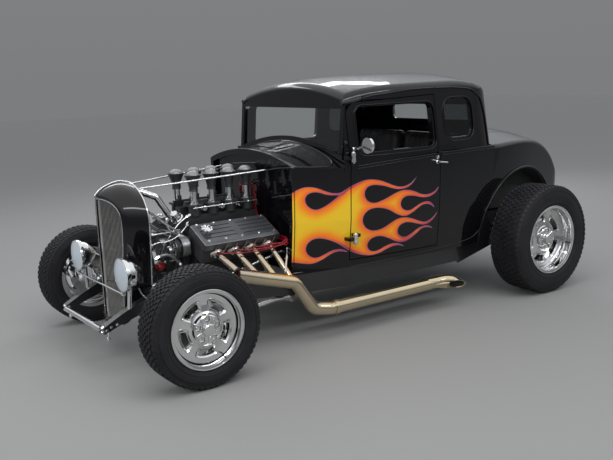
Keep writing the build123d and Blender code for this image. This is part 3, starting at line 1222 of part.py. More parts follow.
def column_bar(radius):
    """A bar along the steering column, from under the wheel to the firewall's face."""
    start = at(*STEER_HUB) - COLUMN_AXIS * 16
    bar = Plane(origin=start, z_dir=-COLUMN_AXIS) * Cylinder(radius, 900, align=(Align.CENTER, Align.CENTER, Align.MIN))
    return bar - block(FIREWALL_X - 34 - FIT, 500, -FAR, FAR, 0, 2000)


def steering_nodes():
    """The column and its three-spoked wheel."""
    hub = at(*STEER_HUB)
    plane = Plane(origin=hub, z_dir=COLUMN_AXIS, x_dir=(0, 1, 0))
    wheel = plane * Torus(STEER_WHEEL_R, 11) + plane * Cylinder(34, 26)
    for index in range(3):
        angle = 90 + index * 120
        spoke = plane * Rot(0, 0, angle) * Pos(STEER_WHEEL_R / 2, 0, 0) * Box(STEER_WHEEL_R, 22, 5)
        wheel = wheel + spoke
    wheel = wheel - plane * Pos(0, 0, -12) * Cylinder(10, 26)
    up = (Align.CENTER, Align.CENTER, Align.MIN)
    shaft = Plane(origin=hub - COLUMN_AXIS * 20, z_dir=COLUMN_AXIS) * Cylinder(9.5, 19, align=up)
    column = [(column_bar(19) + shaft).solid(), steering_box()]
    return {"steering_wheel": wheel, "steering_column": Compound(children=column)}


def door_mirror():
    """The round mirror on the left door's upper hinge."""
    head = Pos(*at(-1165, 735, 1138)) * Rot(0, 90, 0) * Cylinder(46, 16)
    arm = pipe([(-1161, 605, 1112), (-1161, 655, 1117), (-1164, 715, 1136)], 20, 6)
    foot = block(-1172, -1150, 590, 614, 1104, 1122)
    return biggest(head + arm + foot - body_nodes()["door_left"])


def tail_lamp(side, radius):
    """One round tail lamp, set flush in the tail panel."""
    return rod((TAIL_X + 1, side * 300, 545), (TAIL_X + 40, side * 300, 545), radius)


def tail_lamps():
    """The two tail lamps."""
    return both(tail_lamp(1, LAMP_HOLE_R - FIT))


def save(name, shape):
    """Write one node."""
    solids = list(shape.solids())
    export_step(solids[0] if len(solids) == 1 else Compound(children=solids), os.path.join("parts", name + ".step"))
    print(name, len(solids))


def build():
    """Every node of the car, by name."""
    nodes = {}
    for group in (body_nodes, glass_nodes, handle_nodes, frame_nodes, front_suspension, wheel_nodes, rear_suspension,
                  engine_nodes, header_nodes, grille_nodes, lamp_nodes, steering_nodes):
        nodes.update(group())
    left = knuckle()
    nodes["knuckle_left"] = left
    nodes["knuckle_right"] = mirror(left, about=Plane.XZ)
    for piece in (screen_frame, drive_belt, distributor, front_axle, tie_rod, rear_axle, gearbox, front_drive, fuel_tank, stay_rods, radiator_hose,
                  firewall, cabin_floor, seat, dashboard, door_mirror, tail_lamps):
        nodes[piece.__name__] = piece()
    return nodes


if __name__ == "__main__":
    os.makedirs("parts", exist_ok=True)
    for name, shape in build().items():
        save(name, shape)
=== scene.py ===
# %% [markdown]
# # A black hot rod with flames, dressed over its CAD frame
#
# The frame holds every main shape of the car at its real size. This script adds what
# a CAD solid leaves out: paint, plating, tread, stitching, cloth and small fittings.
# Nothing here changes a dimension, so each piece goes where the frame says.

# %% Load the frame
import json
import math

import bpy
import numpy as np
from mathutils import Matrix, Vector

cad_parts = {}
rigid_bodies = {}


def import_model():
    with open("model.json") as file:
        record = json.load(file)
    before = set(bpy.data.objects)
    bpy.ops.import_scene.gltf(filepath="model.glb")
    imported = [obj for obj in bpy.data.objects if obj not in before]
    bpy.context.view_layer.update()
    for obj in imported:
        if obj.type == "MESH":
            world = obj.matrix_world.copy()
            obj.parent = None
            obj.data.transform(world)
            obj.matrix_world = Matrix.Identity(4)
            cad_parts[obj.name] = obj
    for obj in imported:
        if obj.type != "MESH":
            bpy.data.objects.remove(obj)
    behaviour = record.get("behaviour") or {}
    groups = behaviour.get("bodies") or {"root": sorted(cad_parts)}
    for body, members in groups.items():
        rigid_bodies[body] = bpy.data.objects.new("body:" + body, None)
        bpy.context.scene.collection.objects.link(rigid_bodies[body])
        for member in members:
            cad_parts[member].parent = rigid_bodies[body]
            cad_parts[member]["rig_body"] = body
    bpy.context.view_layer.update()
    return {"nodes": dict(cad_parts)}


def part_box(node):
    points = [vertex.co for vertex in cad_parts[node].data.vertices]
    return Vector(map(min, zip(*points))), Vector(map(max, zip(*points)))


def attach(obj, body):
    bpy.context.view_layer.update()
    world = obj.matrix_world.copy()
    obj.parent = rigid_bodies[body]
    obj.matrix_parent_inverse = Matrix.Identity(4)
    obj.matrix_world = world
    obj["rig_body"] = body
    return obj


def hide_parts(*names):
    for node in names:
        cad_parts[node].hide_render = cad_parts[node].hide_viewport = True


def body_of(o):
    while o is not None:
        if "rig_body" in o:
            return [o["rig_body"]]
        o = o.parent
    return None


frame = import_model()
NODES = frame["nodes"]

# %% [markdown]
# The row frame has its origin under the middle of the car. Most measures of a car are
# taken from the front axle, so one number carries that over.

# %% Places that later cells use
AXLE_X = 1.474
WHEELBASE = 2.692
FRONT_TYRE_R = 0.315
REAR_TYRE_R = 0.375


def side_name(side):
    """The word for a side: +1 is the car's left."""
    return "left" if side > 0 else "right"


def deselect():
    """Leaves nothing selected, so that an operator acts only on what is chosen next."""
    if bpy.context.object and bpy.context.object.mode != "OBJECT":
        bpy.ops.object.mode_set(mode="OBJECT")
    bpy.ops.object.select_all(action="DESELECT")


def pick(piece):
    """Makes one object the only selected and active one."""
    deselect()
    piece.select_set(True)
    bpy.context.view_layer.objects.active = piece


def apply_all(piece):
    """Applies every modifier of a piece, in order."""
    pick(piece)
    for name in [m.name for m in piece.modifiers]:
        bpy.ops.object.modifier_apply(modifier=name)


def settle(piece, name, body, material, angle=35):
    """Gives a finished piece its name, place in the mesh, smoothing, finish and body."""
    pick(piece)
    bpy.ops.object.transform_apply(location=True, rotation=True, scale=True)
    if piece.type == "MESH" and angle:
        bpy.ops.object.shade_smooth_by_angle(angle=math.radians(angle))
    piece.name = name
    piece.data.name = name
    piece.data.materials.clear()
    piece.data.materials.append(material)
    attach(piece, body)
    return piece


# %% [markdown]
# ## Camera
#
# The camera stands at the left front, at about a standing person's eye height, and
# looks a little down. Its place was solved from the wheels, the body's edges and the
# lamps, so the render and the photograph can be laid over each other.

# %% The camera
def aim(yaw, pitch, roll):
    """The camera's axes as a matrix, from compass angle, tilt and roll in degrees."""
    yaw, pitch, roll = (math.radians(v) for v in (yaw, pitch, roll))
    ahead = Vector((math.cos(pitch) * math.cos(yaw), math.cos(pitch) * math.sin(yaw), math.sin(pitch)))
    right = ahead.cross(Vector((0, 0, 1))).normalized()
    up = right.cross(ahead)
    turned_right = right * math.cos(roll) + up * math.sin(roll)
    turned_up = up * math.cos(roll) - right * math.sin(roll)
    return Matrix((turned_right, turned_up, -ahead)).transposed().to_4x4()


lens = bpy.data.cameras.new("camera")
lens.sensor_width = 36
lens.lens = 47.9
camera = bpy.data.objects.new("camera", lens)
bpy.context.scene.collection.objects.link(camera)
camera.matrix_world = Matrix.Translation((1.85 + AXLE_X, 4.352, 1.568)) @ aim(-125.28, -10.98, -2.1)
bpy.context.scene.camera = camera
print("camera at", [round(v, 2) for v in camera.location])

# %% [markdown]
# ## Floor, backdrop and light
#
# Black paint and plating show little colour of their own: what is seen in them is the
# room. A pale floor, a soft sky and five broad lamps give long soft highlights
# along the body and a soft shadow under the car.

# %% The floor and the sky
def new_material(name):
    """An empty node material with its output, and the tree to build in."""
    material = bpy.data.materials.new(name)
    material.use_nodes = True
    tree = material.node_tree
    tree.nodes.clear()
    output = tree.nodes.new("ShaderNodeOutputMaterial")
    return material, tree, output


bpy.ops.mesh.primitive_plane_add(size=60, location=(0, 0, 0))
floor = bpy.context.object
floor.name = "floor"
floor_paint, tree, output = new_material("floor_grey")
floor_shader = tree.nodes.new("ShaderNodeBsdfPrincipled")
floor_shader.inputs["Base Color"].default_value = (0.27, 0.27, 0.268, 1)
floor_shader.inputs["Roughness"].default_value = 0.85
tree.links.new(floor_shader.outputs[0], output.inputs["Surface"])
floor.data.materials.append(floor_paint)

world = bpy.data.worlds.new("sky")
bpy.context.scene.world = world
world.use_nodes = True
tree = world.node_tree
tree.nodes.clear()
direction = tree.nodes.new("ShaderNodeTexCoord")
upward = tree.nodes.new("ShaderNodeSeparateXYZ")
tree.links.new(direction.outputs["Generated"], upward.inputs[0])


def sky_band(stops, strength):
    """A background whose colour follows the height, from (height, colour) stops."""
    ramp = tree.nodes.new("ShaderNodeValToRGB")
    while len(ramp.color_ramp.elements) < len(stops):
        ramp.color_ramp.elements.new(0.5)
    for element, (height, colour) in zip(ramp.color_ramp.elements, stops):
        element.position = height
        element.color = (*colour, 1)
    tree.links.new(upward.outputs["Z"], ramp.inputs["Fac"])
    band = tree.nodes.new("ShaderNodeBackground")
    band.inputs["Strength"].default_value = strength
    tree.links.new(ramp.outputs["Color"], band.inputs["Color"])
    return band


light_path = tree.nodes.new("ShaderNodeLightPath")
seen = light_path.outputs["Is Camera Ray"]
for ray in ("Is Glossy Ray", "Is Transmission Ray"):
    either = tree.nodes.new("ShaderNodeMath")
    either.operation = "MAXIMUM"
    tree.links.new(seen, either.inputs[0])
    tree.links.new(light_path.outputs[ray], either.inputs[1])
    seen = either.outputs[0]
lighting_sky = sky_band(((0.0, (0.92, 0.96, 1)), (1.0, (0.92, 0.96, 1))), 0.55)
seen_sky = sky_band(((0.0, (0.20, 0.205, 0.21)), (0.15, (0.22, 0.225, 0.235)), (0.28, (0.46, 0.48, 0.51)),
                     (0.48, (0.88, 0.92, 0.97)), (0.80, (1, 1, 1))), 1.0)
sky_mix = tree.nodes.new("ShaderNodeMixShader")
tree.links.new(seen, sky_mix.inputs["Fac"])
tree.links.new(lighting_sky.outputs[0], sky_mix.inputs[1])
tree.links.new(seen_sky.outputs[0], sky_mix.inputs[2])
world_out = tree.nodes.new("ShaderNodeOutputWorld")
tree.links.new(sky_mix.outputs[0], world_out.inputs["Surface"])
bpy.context.scene.view_settings.view_transform = "Standard"


# %% The lamps
def lamp(name, place, target, size, power, colour, seen=False):
    """A soft lamp that faces a point on the car, seen or not in its gloss."""
    light = bpy.data.lights.new(name, "AREA")
    light.shape = "RECTANGLE"
    light.size, light.size_y = size
    light.energy = power
    light.color = colour
    holder = bpy.data.objects.new(name, light)
    bpy.context.scene.collection.objects.link(holder)
    holder.location = place
    holder.rotation_euler = (Vector(target) - Vector(place)).to_track_quat("-Z", "Y").to_euler()
    holder.visible_glossy = seen
    return holder


lamp("lamp_over", (1.0, 1.5, 5.0), (0, 0, 0.5), (5, 3), 100, (1, 0.98, 0.95))
lamp("lamp_front", (6.0, 1.5, 3.0), (0.8, 0, 0.6), (3, 2), 90, (1, 1, 1))
lamp("lamp_back", (-4.5, -4.0, 3.5), (0, 0, 0.8), (3, 2), 90, (0.95, 0.97, 1))
lamp("strip_left", (0.6, 4.6, 4.4), (0, 0, 0.8), (8, 0.6), 120, (1, 1, 1), True)
lamp("strip_right", (-0.6, -4.6, 4.4), (0, 0, 0.8), (8, 0.6), 80, (1, 1, 1), True)

# %% [markdown]
# ## Finishes
#
# No finish on a real car is one flat value. Paint has fine orange peel, castings have
# a grain, plating picks up faint haze. One node group makes that slow and fine
# variation, and each material sets its own amounts and scales in it.

# %% The shared surface group
def group_socket(group, name, direction, kind, value=None):
    """Adds one named socket to a node group."""
    socket = group.interface.new_socket(name=name, in_out=direction, socket_type=kind)
    if value is not None:
        socket.default_value = value
    return socket


def surface_group():
    """Slow blotches and fine grain, turned into colour, roughness and height."""
    group = bpy.data.node_groups.new("surface_variation", "ShaderNodeTree")
    group_socket(group, "Vector", "INPUT", "NodeSocketVector")
    group_socket(group, "Color A", "INPUT", "NodeSocketColor", (0.5, 0.5, 0.5, 1))
    group_socket(group, "Color B", "INPUT", "NodeSocketColor", (0.4, 0.4, 0.4, 1))
    group_socket(group, "Blotch Scale", "INPUT", "NodeSocketFloat", 3.0)
    group_socket(group, "Grain Scale", "INPUT", "NodeSocketFloat", 300.0)
    group_socket(group, "Rough Low", "INPUT", "NodeSocketFloat", 0.1)
    group_socket(group, "Rough High", "INPUT", "NodeSocketFloat", 0.2)
    group_socket(group, "Color", "OUTPUT", "NodeSocketColor")
    group_socket(group, "Roughness", "OUTPUT", "NodeSocketFloat")
    group_socket(group, "Height", "OUTPUT", "NodeSocketFloat")
    nodes, links = group.nodes, group.links
    given, made = nodes.new("NodeGroupInput"), nodes.new("NodeGroupOutput")
    blotch = nodes.new("ShaderNodeTexNoise")
    blotch.inputs["Detail"].default_value = 3
    grain = nodes.new("ShaderNodeTexNoise")
    grain.inputs["Detail"].default_value = 2
    for noise, scale in ((blotch, "Blotch Scale"), (grain, "Grain Scale")):
        links.new(given.outputs["Vector"], noise.inputs["Vector"])
        links.new(given.outputs[scale], noise.inputs["Scale"])
    share = nodes.new("ShaderNodeMapRange")
    share.inputs["From Min"].default_value = 0.35
    share.inputs["From Max"].default_value = 0.65
    links.new(blotch.outputs["Fac"], share.inputs["Value"])
    colour = nodes.new("ShaderNodeMix")
    colour.data_type = "RGBA"
    links.new(share.outputs["Result"], colour.inputs["Factor"])
    links.new(given.outputs["Color A"], colour.inputs["A"])
    links.new(given.outputs["Color B"], colour.inputs["B"])
    both = nodes.new("ShaderNodeMath")
    both.operation = "MULTIPLY_ADD"
    links.new(grain.outputs["Fac"], both.inputs[0])
    both.inputs[1].default_value = 0.5
    half_blotch = nodes.new("ShaderNodeMath")
    half_blotch.operation = "MULTIPLY"
    half_blotch.inputs[1].default_value = 0.5
    links.new(share.outputs["Result"], half_blotch.inputs[0])
    links.new(half_blotch.outputs[0], both.inputs[2])
    rough = nodes.new("ShaderNodeMapRange")
    links.new(both.outputs[0], rough.inputs["Value"])
    links.new(given.outputs["Rough Low"], rough.inputs["To Min"])
    links.new(given.outputs["Rough High"], rough.inputs["To Max"])
    links.new(colour.outputs["Result"], made.inputs["Color"])
    links.new(rough.outputs["Result"], made.inputs["Roughness"])
    links.new(grain.outputs["Fac"], made.inputs["Height"])
    return group


SURFACE = surface_group()


def place_nodes(tree, turn=(0, 0, 0), stretch=(1, 1, 1)):
    """Object coordinates through a Mapping node that turns and stretches a pattern."""
    where = tree.nodes.new("ShaderNodeTexCoord")
    mapping = tree.nodes.new("ShaderNodeMapping")
    mapping.inputs["Rotation"].default_value = turn
    mapping.inputs["Scale"].default_value = stretch
    tree.links.new(where.outputs["Object"], mapping.inputs["Vector"])
    return mapping.outputs["Vector"]


def finish(name, first, second, rough, metallic=0.0, blotch=3.0, grain=300.0, bump=0.05,
           depth=0.0005, coat=0.0, coat_rough=0.03, stretch=(1, 1, 1), specular=0.5):
    """A material from the shared group: two near colours, a roughness range and a grain."""
    material, tree, output = new_material(name)
    shader = tree.nodes.new("ShaderNodeBsdfPrincipled")
    surface = tree.nodes.new("ShaderNodeGroup")
    surface.node_tree = SURFACE
    surface.inputs["Color A"].default_value = (*first, 1)
    surface.inputs["Color B"].default_value = (*second, 1)
    surface.inputs["Blotch Scale"].default_value = blotch
    surface.inputs["Grain Scale"].default_value = grain
    surface.inputs["Rough Low"].default_value = rough[0]
    surface.inputs["Rough High"].default_value = rough[1]
    tree.links.new(place_nodes(tree, stretch=stretch), surface.inputs["Vector"])
    relief = tree.nodes.new("ShaderNodeBump")
    relief.inputs["Strength"].default_value = bump
    relief.inputs["Distance"].default_value = depth
    tree.links.new(surface.outputs["Height"], relief.inputs["Height"])
    tree.links.new(surface.outputs["Color"], shader.inputs["Base Color"])
    tree.links.new(surface.outputs["Roughness"], shader.inputs["Roughness"])
    tree.links.new(relief.outputs["Normal"], shader.inputs["Normal"])
    shader.inputs["Metallic"].default_value = metallic
    shader.inputs["Coat Weight"].default_value = coat
    shader.inputs["Coat Roughness"].default_value = coat_rough
    shader.inputs["Specular IOR Level"].default_value = specular
    shader.inputs["Coat IOR"].default_value = 1.45
    tree.links.new(shader.outputs[0], output.inputs["Surface"])
    return material


# %% Paint, plating and castings
black_paint = finish("black_paint", (0.0022, 0.0022, 0.0032), (0.0035, 0.0032, 0.0046), (0.25, 0.4),
                     blotch=1.2, grain=120, bump=0.02, depth=0.0004, coat=1.0, coat_rough=0.015,
                     specular=0.05)
frame_black = finish("frame_black", (0.005, 0.005, 0.006), (0.009, 0.009, 0.010), (0.28, 0.45),
                     blotch=4, grain=220, bump=0.04, coat=0.8, coat_rough=0.05)
chrome = finish("chrome", (0.84, 0.85, 0.86), (0.74, 0.75, 0.76), (0.02, 0.06), metallic=1,
                blotch=9, grain=40, bump=0.10, depth=0.002)
bright_steel = finish("bright_steel", (0.62, 0.61, 0.59), (0.52, 0.51, 0.5), (0.16, 0.28),
                      metallic=1, blotch=14, grain=900, bump=0.03)
wheel_alloy = finish("wheel_alloy", (0.80, 0.80, 0.80), (0.66, 0.66, 0.66), (0.03, 0.07),
                     metallic=1, blotch=7, grain=22, bump=0.16, depth=0.003)
cast_alloy = finish("cast_alloy", (0.30, 0.30, 0.31), (0.22, 0.22, 0.23), (0.28, 0.45), metallic=1,
                    blotch=12, grain=420, bump=0.25, depth=0.001)
dark_iron = finish("dark_iron", (0.055, 0.055, 0.06), (0.035, 0.034, 0.036), (0.45, 0.65),
                   metallic=0.35, blotch=10, grain=350, bump=0.3, depth=0.001)
cover_grey = finish("cover_grey", (0.15, 0.153, 0.165), (0.11, 0.112, 0.122), (0.28, 0.40),
                    metallic=0.75, blotch=8, grain=700, bump=0.08)
satin_black = finish("satin_black", (0.022, 0.022, 0.024), (0.03, 0.03, 0.032), (0.28, 0.42),
                     blotch=10, grain=500, bump=0.05, coat=0.3, coat_rough=0.2)
dull_core = finish("dull_core", (0.12, 0.12, 0.125), (0.07, 0.07, 0.075), (0.5, 0.7), metallic=0.7,
                   blotch=6, grain=800, bump=0.3, depth=0.001, stretch=(1, 1, 6))
rubber = finish("rubber", (0.0095, 0.0095, 0.011), (0.016, 0.016, 0.018), (0.50, 0.72), blotch=9,
                grain=700, bump=0.2, depth=0.0006, specular=0.3)
belt_rubber = finish("belt_rubber", (0.03, 0.03, 0.03), (0.02, 0.02, 0.02), (0.7, 0.85),
                     grain=900, bump=0.2)
dark_trim = finish("dark_trim", (0.02, 0.02, 0.02), (0.035, 0.034, 0.033), (0.7, 0.9), blotch=8,
                   grain=900, bump=0.5, depth=0.001)
cap_red = finish("cap_red", (0.22, 0.012, 0.012), (0.16, 0.008, 0.01), (0.25, 0.4), grain=400,
                 bump=0.05, coat=0.4)
hide_black = finish("hide_black", (0.028, 0.026, 0.026), (0.04, 0.038, 0.037), (0.38, 0.55),
                    blotch=6, grain=450, bump=0.45, depth=0.0012)
print("finishes", len(bpy.data.materials))


# %% [markdown]
# Some finishes need a pattern of their own: heat colours a pipe where the gas leaves
# the engine, woven wire gets near-black holes between its strands, painted shade that stands
# for the shaded bore seen through them, and window glass lets light through.

# %% Patterned finishes
def shade(tree, output, colour, rough, metallic, normal=None, **values):
    """A Principled shader with linked colour and roughness and constant sockets."""
    shader = tree.nodes.new("ShaderNodeBsdfPrincipled")
    if colour is not None:
        tree.links.new(colour, shader.inputs["Base Color"])
    if rough is not None:
        tree.links.new(rough, shader.inputs["Roughness"])
    if normal is not None:
        tree.links.new(normal, shader.inputs["Normal"])
    shader.inputs["Metallic"].default_value = metallic
    for socket, value in values.items():
        shader.inputs[socket.replace("_", " ")].default_value = value
    tree.links.new(shader.outputs[0], output.inputs["Surface"])
    return shader


def heated_pipe():
    """Polished pipe, straw coloured with heat and bluer towards the ports."""
    material, tree, output = new_material("heated_pipe")
    vector = place_nodes(tree)
    surface = tree.nodes.new("ShaderNodeGroup")
    surface.node_tree = SURFACE
    surface.inputs["Color A"].default_value = (0.70, 0.58, 0.38, 1)
    surface.inputs["Color B"].default_value = (0.62, 0.53, 0.38, 1)
    surface.inputs["Blotch Scale"].default_value = 5
    surface.inputs["Grain Scale"].default_value = 700
    surface.inputs["Rough Low"].default_value = 0.04
    surface.inputs["Rough High"].default_value = 0.09
    tree.links.new(vector, surface.inputs["Vector"])
    split = tree.nodes.new("ShaderNodeSeparateXYZ")
    tree.links.new(vector, split.inputs[0])
    height = tree.nodes.new("ShaderNodeMapRange")
    height.inputs["From Min"].default_value = 0.42
    height.inputs["From Max"].default_value = 0.62
    tree.links.new(split.outputs["Z"], height.inputs["Value"])
    mix = tree.nodes.new("ShaderNodeMix")
    mix.data_type = "RGBA"
    tree.links.new(height.outputs["Result"], mix.inputs["Factor"])
    tree.links.new(surface.outputs["Color"], mix.inputs["A"])
    mix.inputs["B"].default_value = (0.46, 0.38, 0.33, 1)
    shade(tree, output, mix.outputs["Result"], surface.outputs["Roughness"], 1)
    return material


def woven_wire():
    """Grey wire cloth: two crossed sets of strands, with the holes between them painted near black as shade."""
    material, tree, output = new_material("woven_wire")
    vector = place_nodes(tree)
    strands = []
    for direction in ("X", "Y"):
        wave = tree.nodes.new("ShaderNodeTexWave")
        wave.bands_direction = direction
        wave.inputs["Scale"].default_value = 75
        tree.links.new(vector, wave.inputs["Vector"])
        strands.append(wave.outputs["Fac"])
    high = tree.nodes.new("ShaderNodeMath")
    high.operation = "MAXIMUM"
    tree.links.new(strands[0], high.inputs[0])
    tree.links.new(strands[1], high.inputs[1])
    # The low stop is painted shade: the holes are coloured near black for the shaded bore behind them.
    ramp = tree.nodes.new("ShaderNodeValToRGB")
    ramp.color_ramp.elements[0].position = 0.55
    ramp.color_ramp.elements[0].color = (0.03, 0.03, 0.032, 1)
    ramp.color_ramp.elements[1].position = 0.8
    ramp.color_ramp.elements[1].color = (0.42, 0.43, 0.44, 1)
    tree.links.new(high.outputs[0], ramp.inputs["Fac"])
    relief = tree.nodes.new("ShaderNodeBump")
    relief.inputs["Strength"].default_value = 0.6
    relief.inputs["Distance"].default_value = 0.001
    tree.links.new(high.outputs[0], relief.inputs["Height"])
    shade(tree, output, ramp.outputs["Color"], None, 0.8, relief.outputs["Normal"], Roughness=0.45)
    return material


def clear_glass(name, tint, rough, clear=1.0):
    """Glass, with its own tint and frosting, and a fine waviness in the surface."""
    material, tree, output = new_material(name)
    noise = tree.nodes.new("ShaderNodeTexNoise")
    noise.inputs["Scale"].default_value = 6
    tree.links.new(place_nodes(tree), noise.inputs["Vector"])
    relief = tree.nodes.new("ShaderNodeBump")
    relief.inputs["Strength"].default_value = 0.02
    relief.inputs["Distance"].default_value = 0.001
    tree.links.new(noise.outputs["Fac"], relief.inputs["Height"])
    shade(tree, output, None, None, 0, relief.outputs["Normal"], Base_Color=(*tint, 1),
          Roughness=rough, Transmission_Weight=clear, IOR=1.45)
    return material


heat_gold = heated_pipe()
wire_cloth = woven_wire()
window_glass = clear_glass("window_glass", (0.94, 0.97, 0.96), 0.0)
frosted_lens = clear_glass("frosted_lens", (0.86, 0.93, 1.0), 0.25, 0.55)
red_glass = clear_glass("red_glass", (0.5, 0.02, 0.02), 0.12)
print("patterned finishes ready")

# %% [markdown]
# ## Smooth skins over the frame's nodes
#
# A node arrives as loose flat triangles. A gloss surface made of them would show every
# facet, so each visible node gets a copy whose points are merged and whose normals run
# smoothly over all but the sharp edges. The copy then stands for the node.

# %% The skins
def skin(node, name, material, angle=33, body=None, weighted=True):
    """A merged and smooth shaded copy of a CAD node that stands for it."""
    source = NODES[node]
    piece = bpy.data.objects.new(name, source.data.copy())
    bpy.context.scene.collection.objects.link(piece)
    pick(piece)
    if piece.data.has_custom_normals:
        bpy.ops.mesh.customdata_custom_splitnormals_clear()
    bpy.ops.object.mode_set(mode="EDIT")
    bpy.ops.mesh.select_all(action="SELECT")
    bpy.ops.mesh.remove_doubles(threshold=0.00001)
    bpy.ops.object.mode_set(mode="OBJECT")
    settle(piece, name, body or body_of(source)[0], material, angle=angle)
    if weighted:
        modifier = piece.modifiers.new("even_normals", "WEIGHTED_NORMAL")
        modifier.keep_sharp = True
        modifier.weight = 100
        apply_all(piece)
    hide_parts(node)
    return piece


SKINS = (
    ("cowl", "cowl_panel", black_paint), ("sills", "sill_panels", black_paint),
    ("roof", "roof_panel", black_paint), ("quarter_left", "quarter_panel_left", black_paint),
    ("quarter_right", "quarter_panel_right", black_paint),
    ("door_left", "door_panel_left", black_paint), ("door_right", "door_panel_right", black_paint),
    ("rear_panels", "tail_panels", black_paint), ("deck_lid", "boot_lid", black_paint),
    ("firewall", "firewall_panel", black_paint),
    ("screen_frame", "windscreen_frame", black_paint), ("dashboard", "dash_panel", black_paint),
    ("cabin_floor", "floor_pan", dark_trim), ("frame", "chassis_rails", frame_black),
    ("front_axle", "front_axle_beam", chrome), ("tie_rod", "tie_rod_bar", chrome),
    ("front_suspension", "front_links", chrome), ("knuckle_left", "stub_axle_left", chrome),
    ("knuckle_right", "stub_axle_right", chrome), ("rear_suspension", "rear_links", chrome),
    ("rear_axle", "rear_axle_case", frame_black), ("spreader_bars", "spreader_tubes", chrome),
    ("engine", "engine_block", dark_iron), ("valve_covers", "rocker_covers", cover_grey),
    ("gearbox", "gearbox_case", cast_alloy), ("front_drive", "pulleys", cast_alloy),
    ("drive_belt", "belt", belt_rubber), ("distributor", "distributor_cap", cap_red),
    ("ram_manifold", "ram_base", satin_black), ("stack_tubes", "ribbed_tubes", chrome),
    ("stack_horns", "trumpets", satin_black), ("stack_screens", "wire_domes", wire_cloth),
    ("exhausts", "exhaust_pipes", heat_gold), ("radiator", "radiator_core", dull_core),
    ("radiator_hose", "top_hose", chrome), ("headlamps", "lamp_buckets", chrome),
    ("headlamp_lenses", "lamp_lenses", frosted_lens), ("tail_lamps", "rear_lamps", red_glass),
    ("stay_rods", "stays", chrome), ("steering_column", "column", chrome),
    ("steering_wheel", "rim_and_spokes", satin_black), ("door_mirror", "mirror", chrome),
    ("door_handle_left", "handle_left", chrome), ("door_handle_right", "handle_right", chrome),
    ("fuel_tank", "tank", frame_black), ("glass", "windows", window_glass),
    ("brake_disc_left", "disc_left", bright_steel), ("brake_disc_right", "disc_right", bright_steel),
    ("wheel_front_left", "rim_front_left", wheel_alloy),
    ("wheel_front_right", "rim_front_right", wheel_alloy),
    ("wheel_rear_left", "rim_rear_left", wheel_alloy),
    ("wheel_rear_right", "rim_rear_right", wheel_alloy),
)
PIECES = {}
for node, name, material in SKINS:
    PIECES[node] = skin(node, name, material, 62 if node == "roof" else 33)
print("skins", len(PIECES), "of", len(NODES), "nodes")

# %% [markdown]
# ## Flames on the cowl and doors
#
# Traditional flames are masked and sprayed: yellow in the middle, orange towards the
# edge, red in the thin licks, and a fine pale line drawn round it all. They follow the
# sheet metal, so here each panel gets a close fitting skin of small squares projected
# on it. Every point of that skin stores how far it lies inside the flame's outline,
# and the paint mixes its colours from that distance.

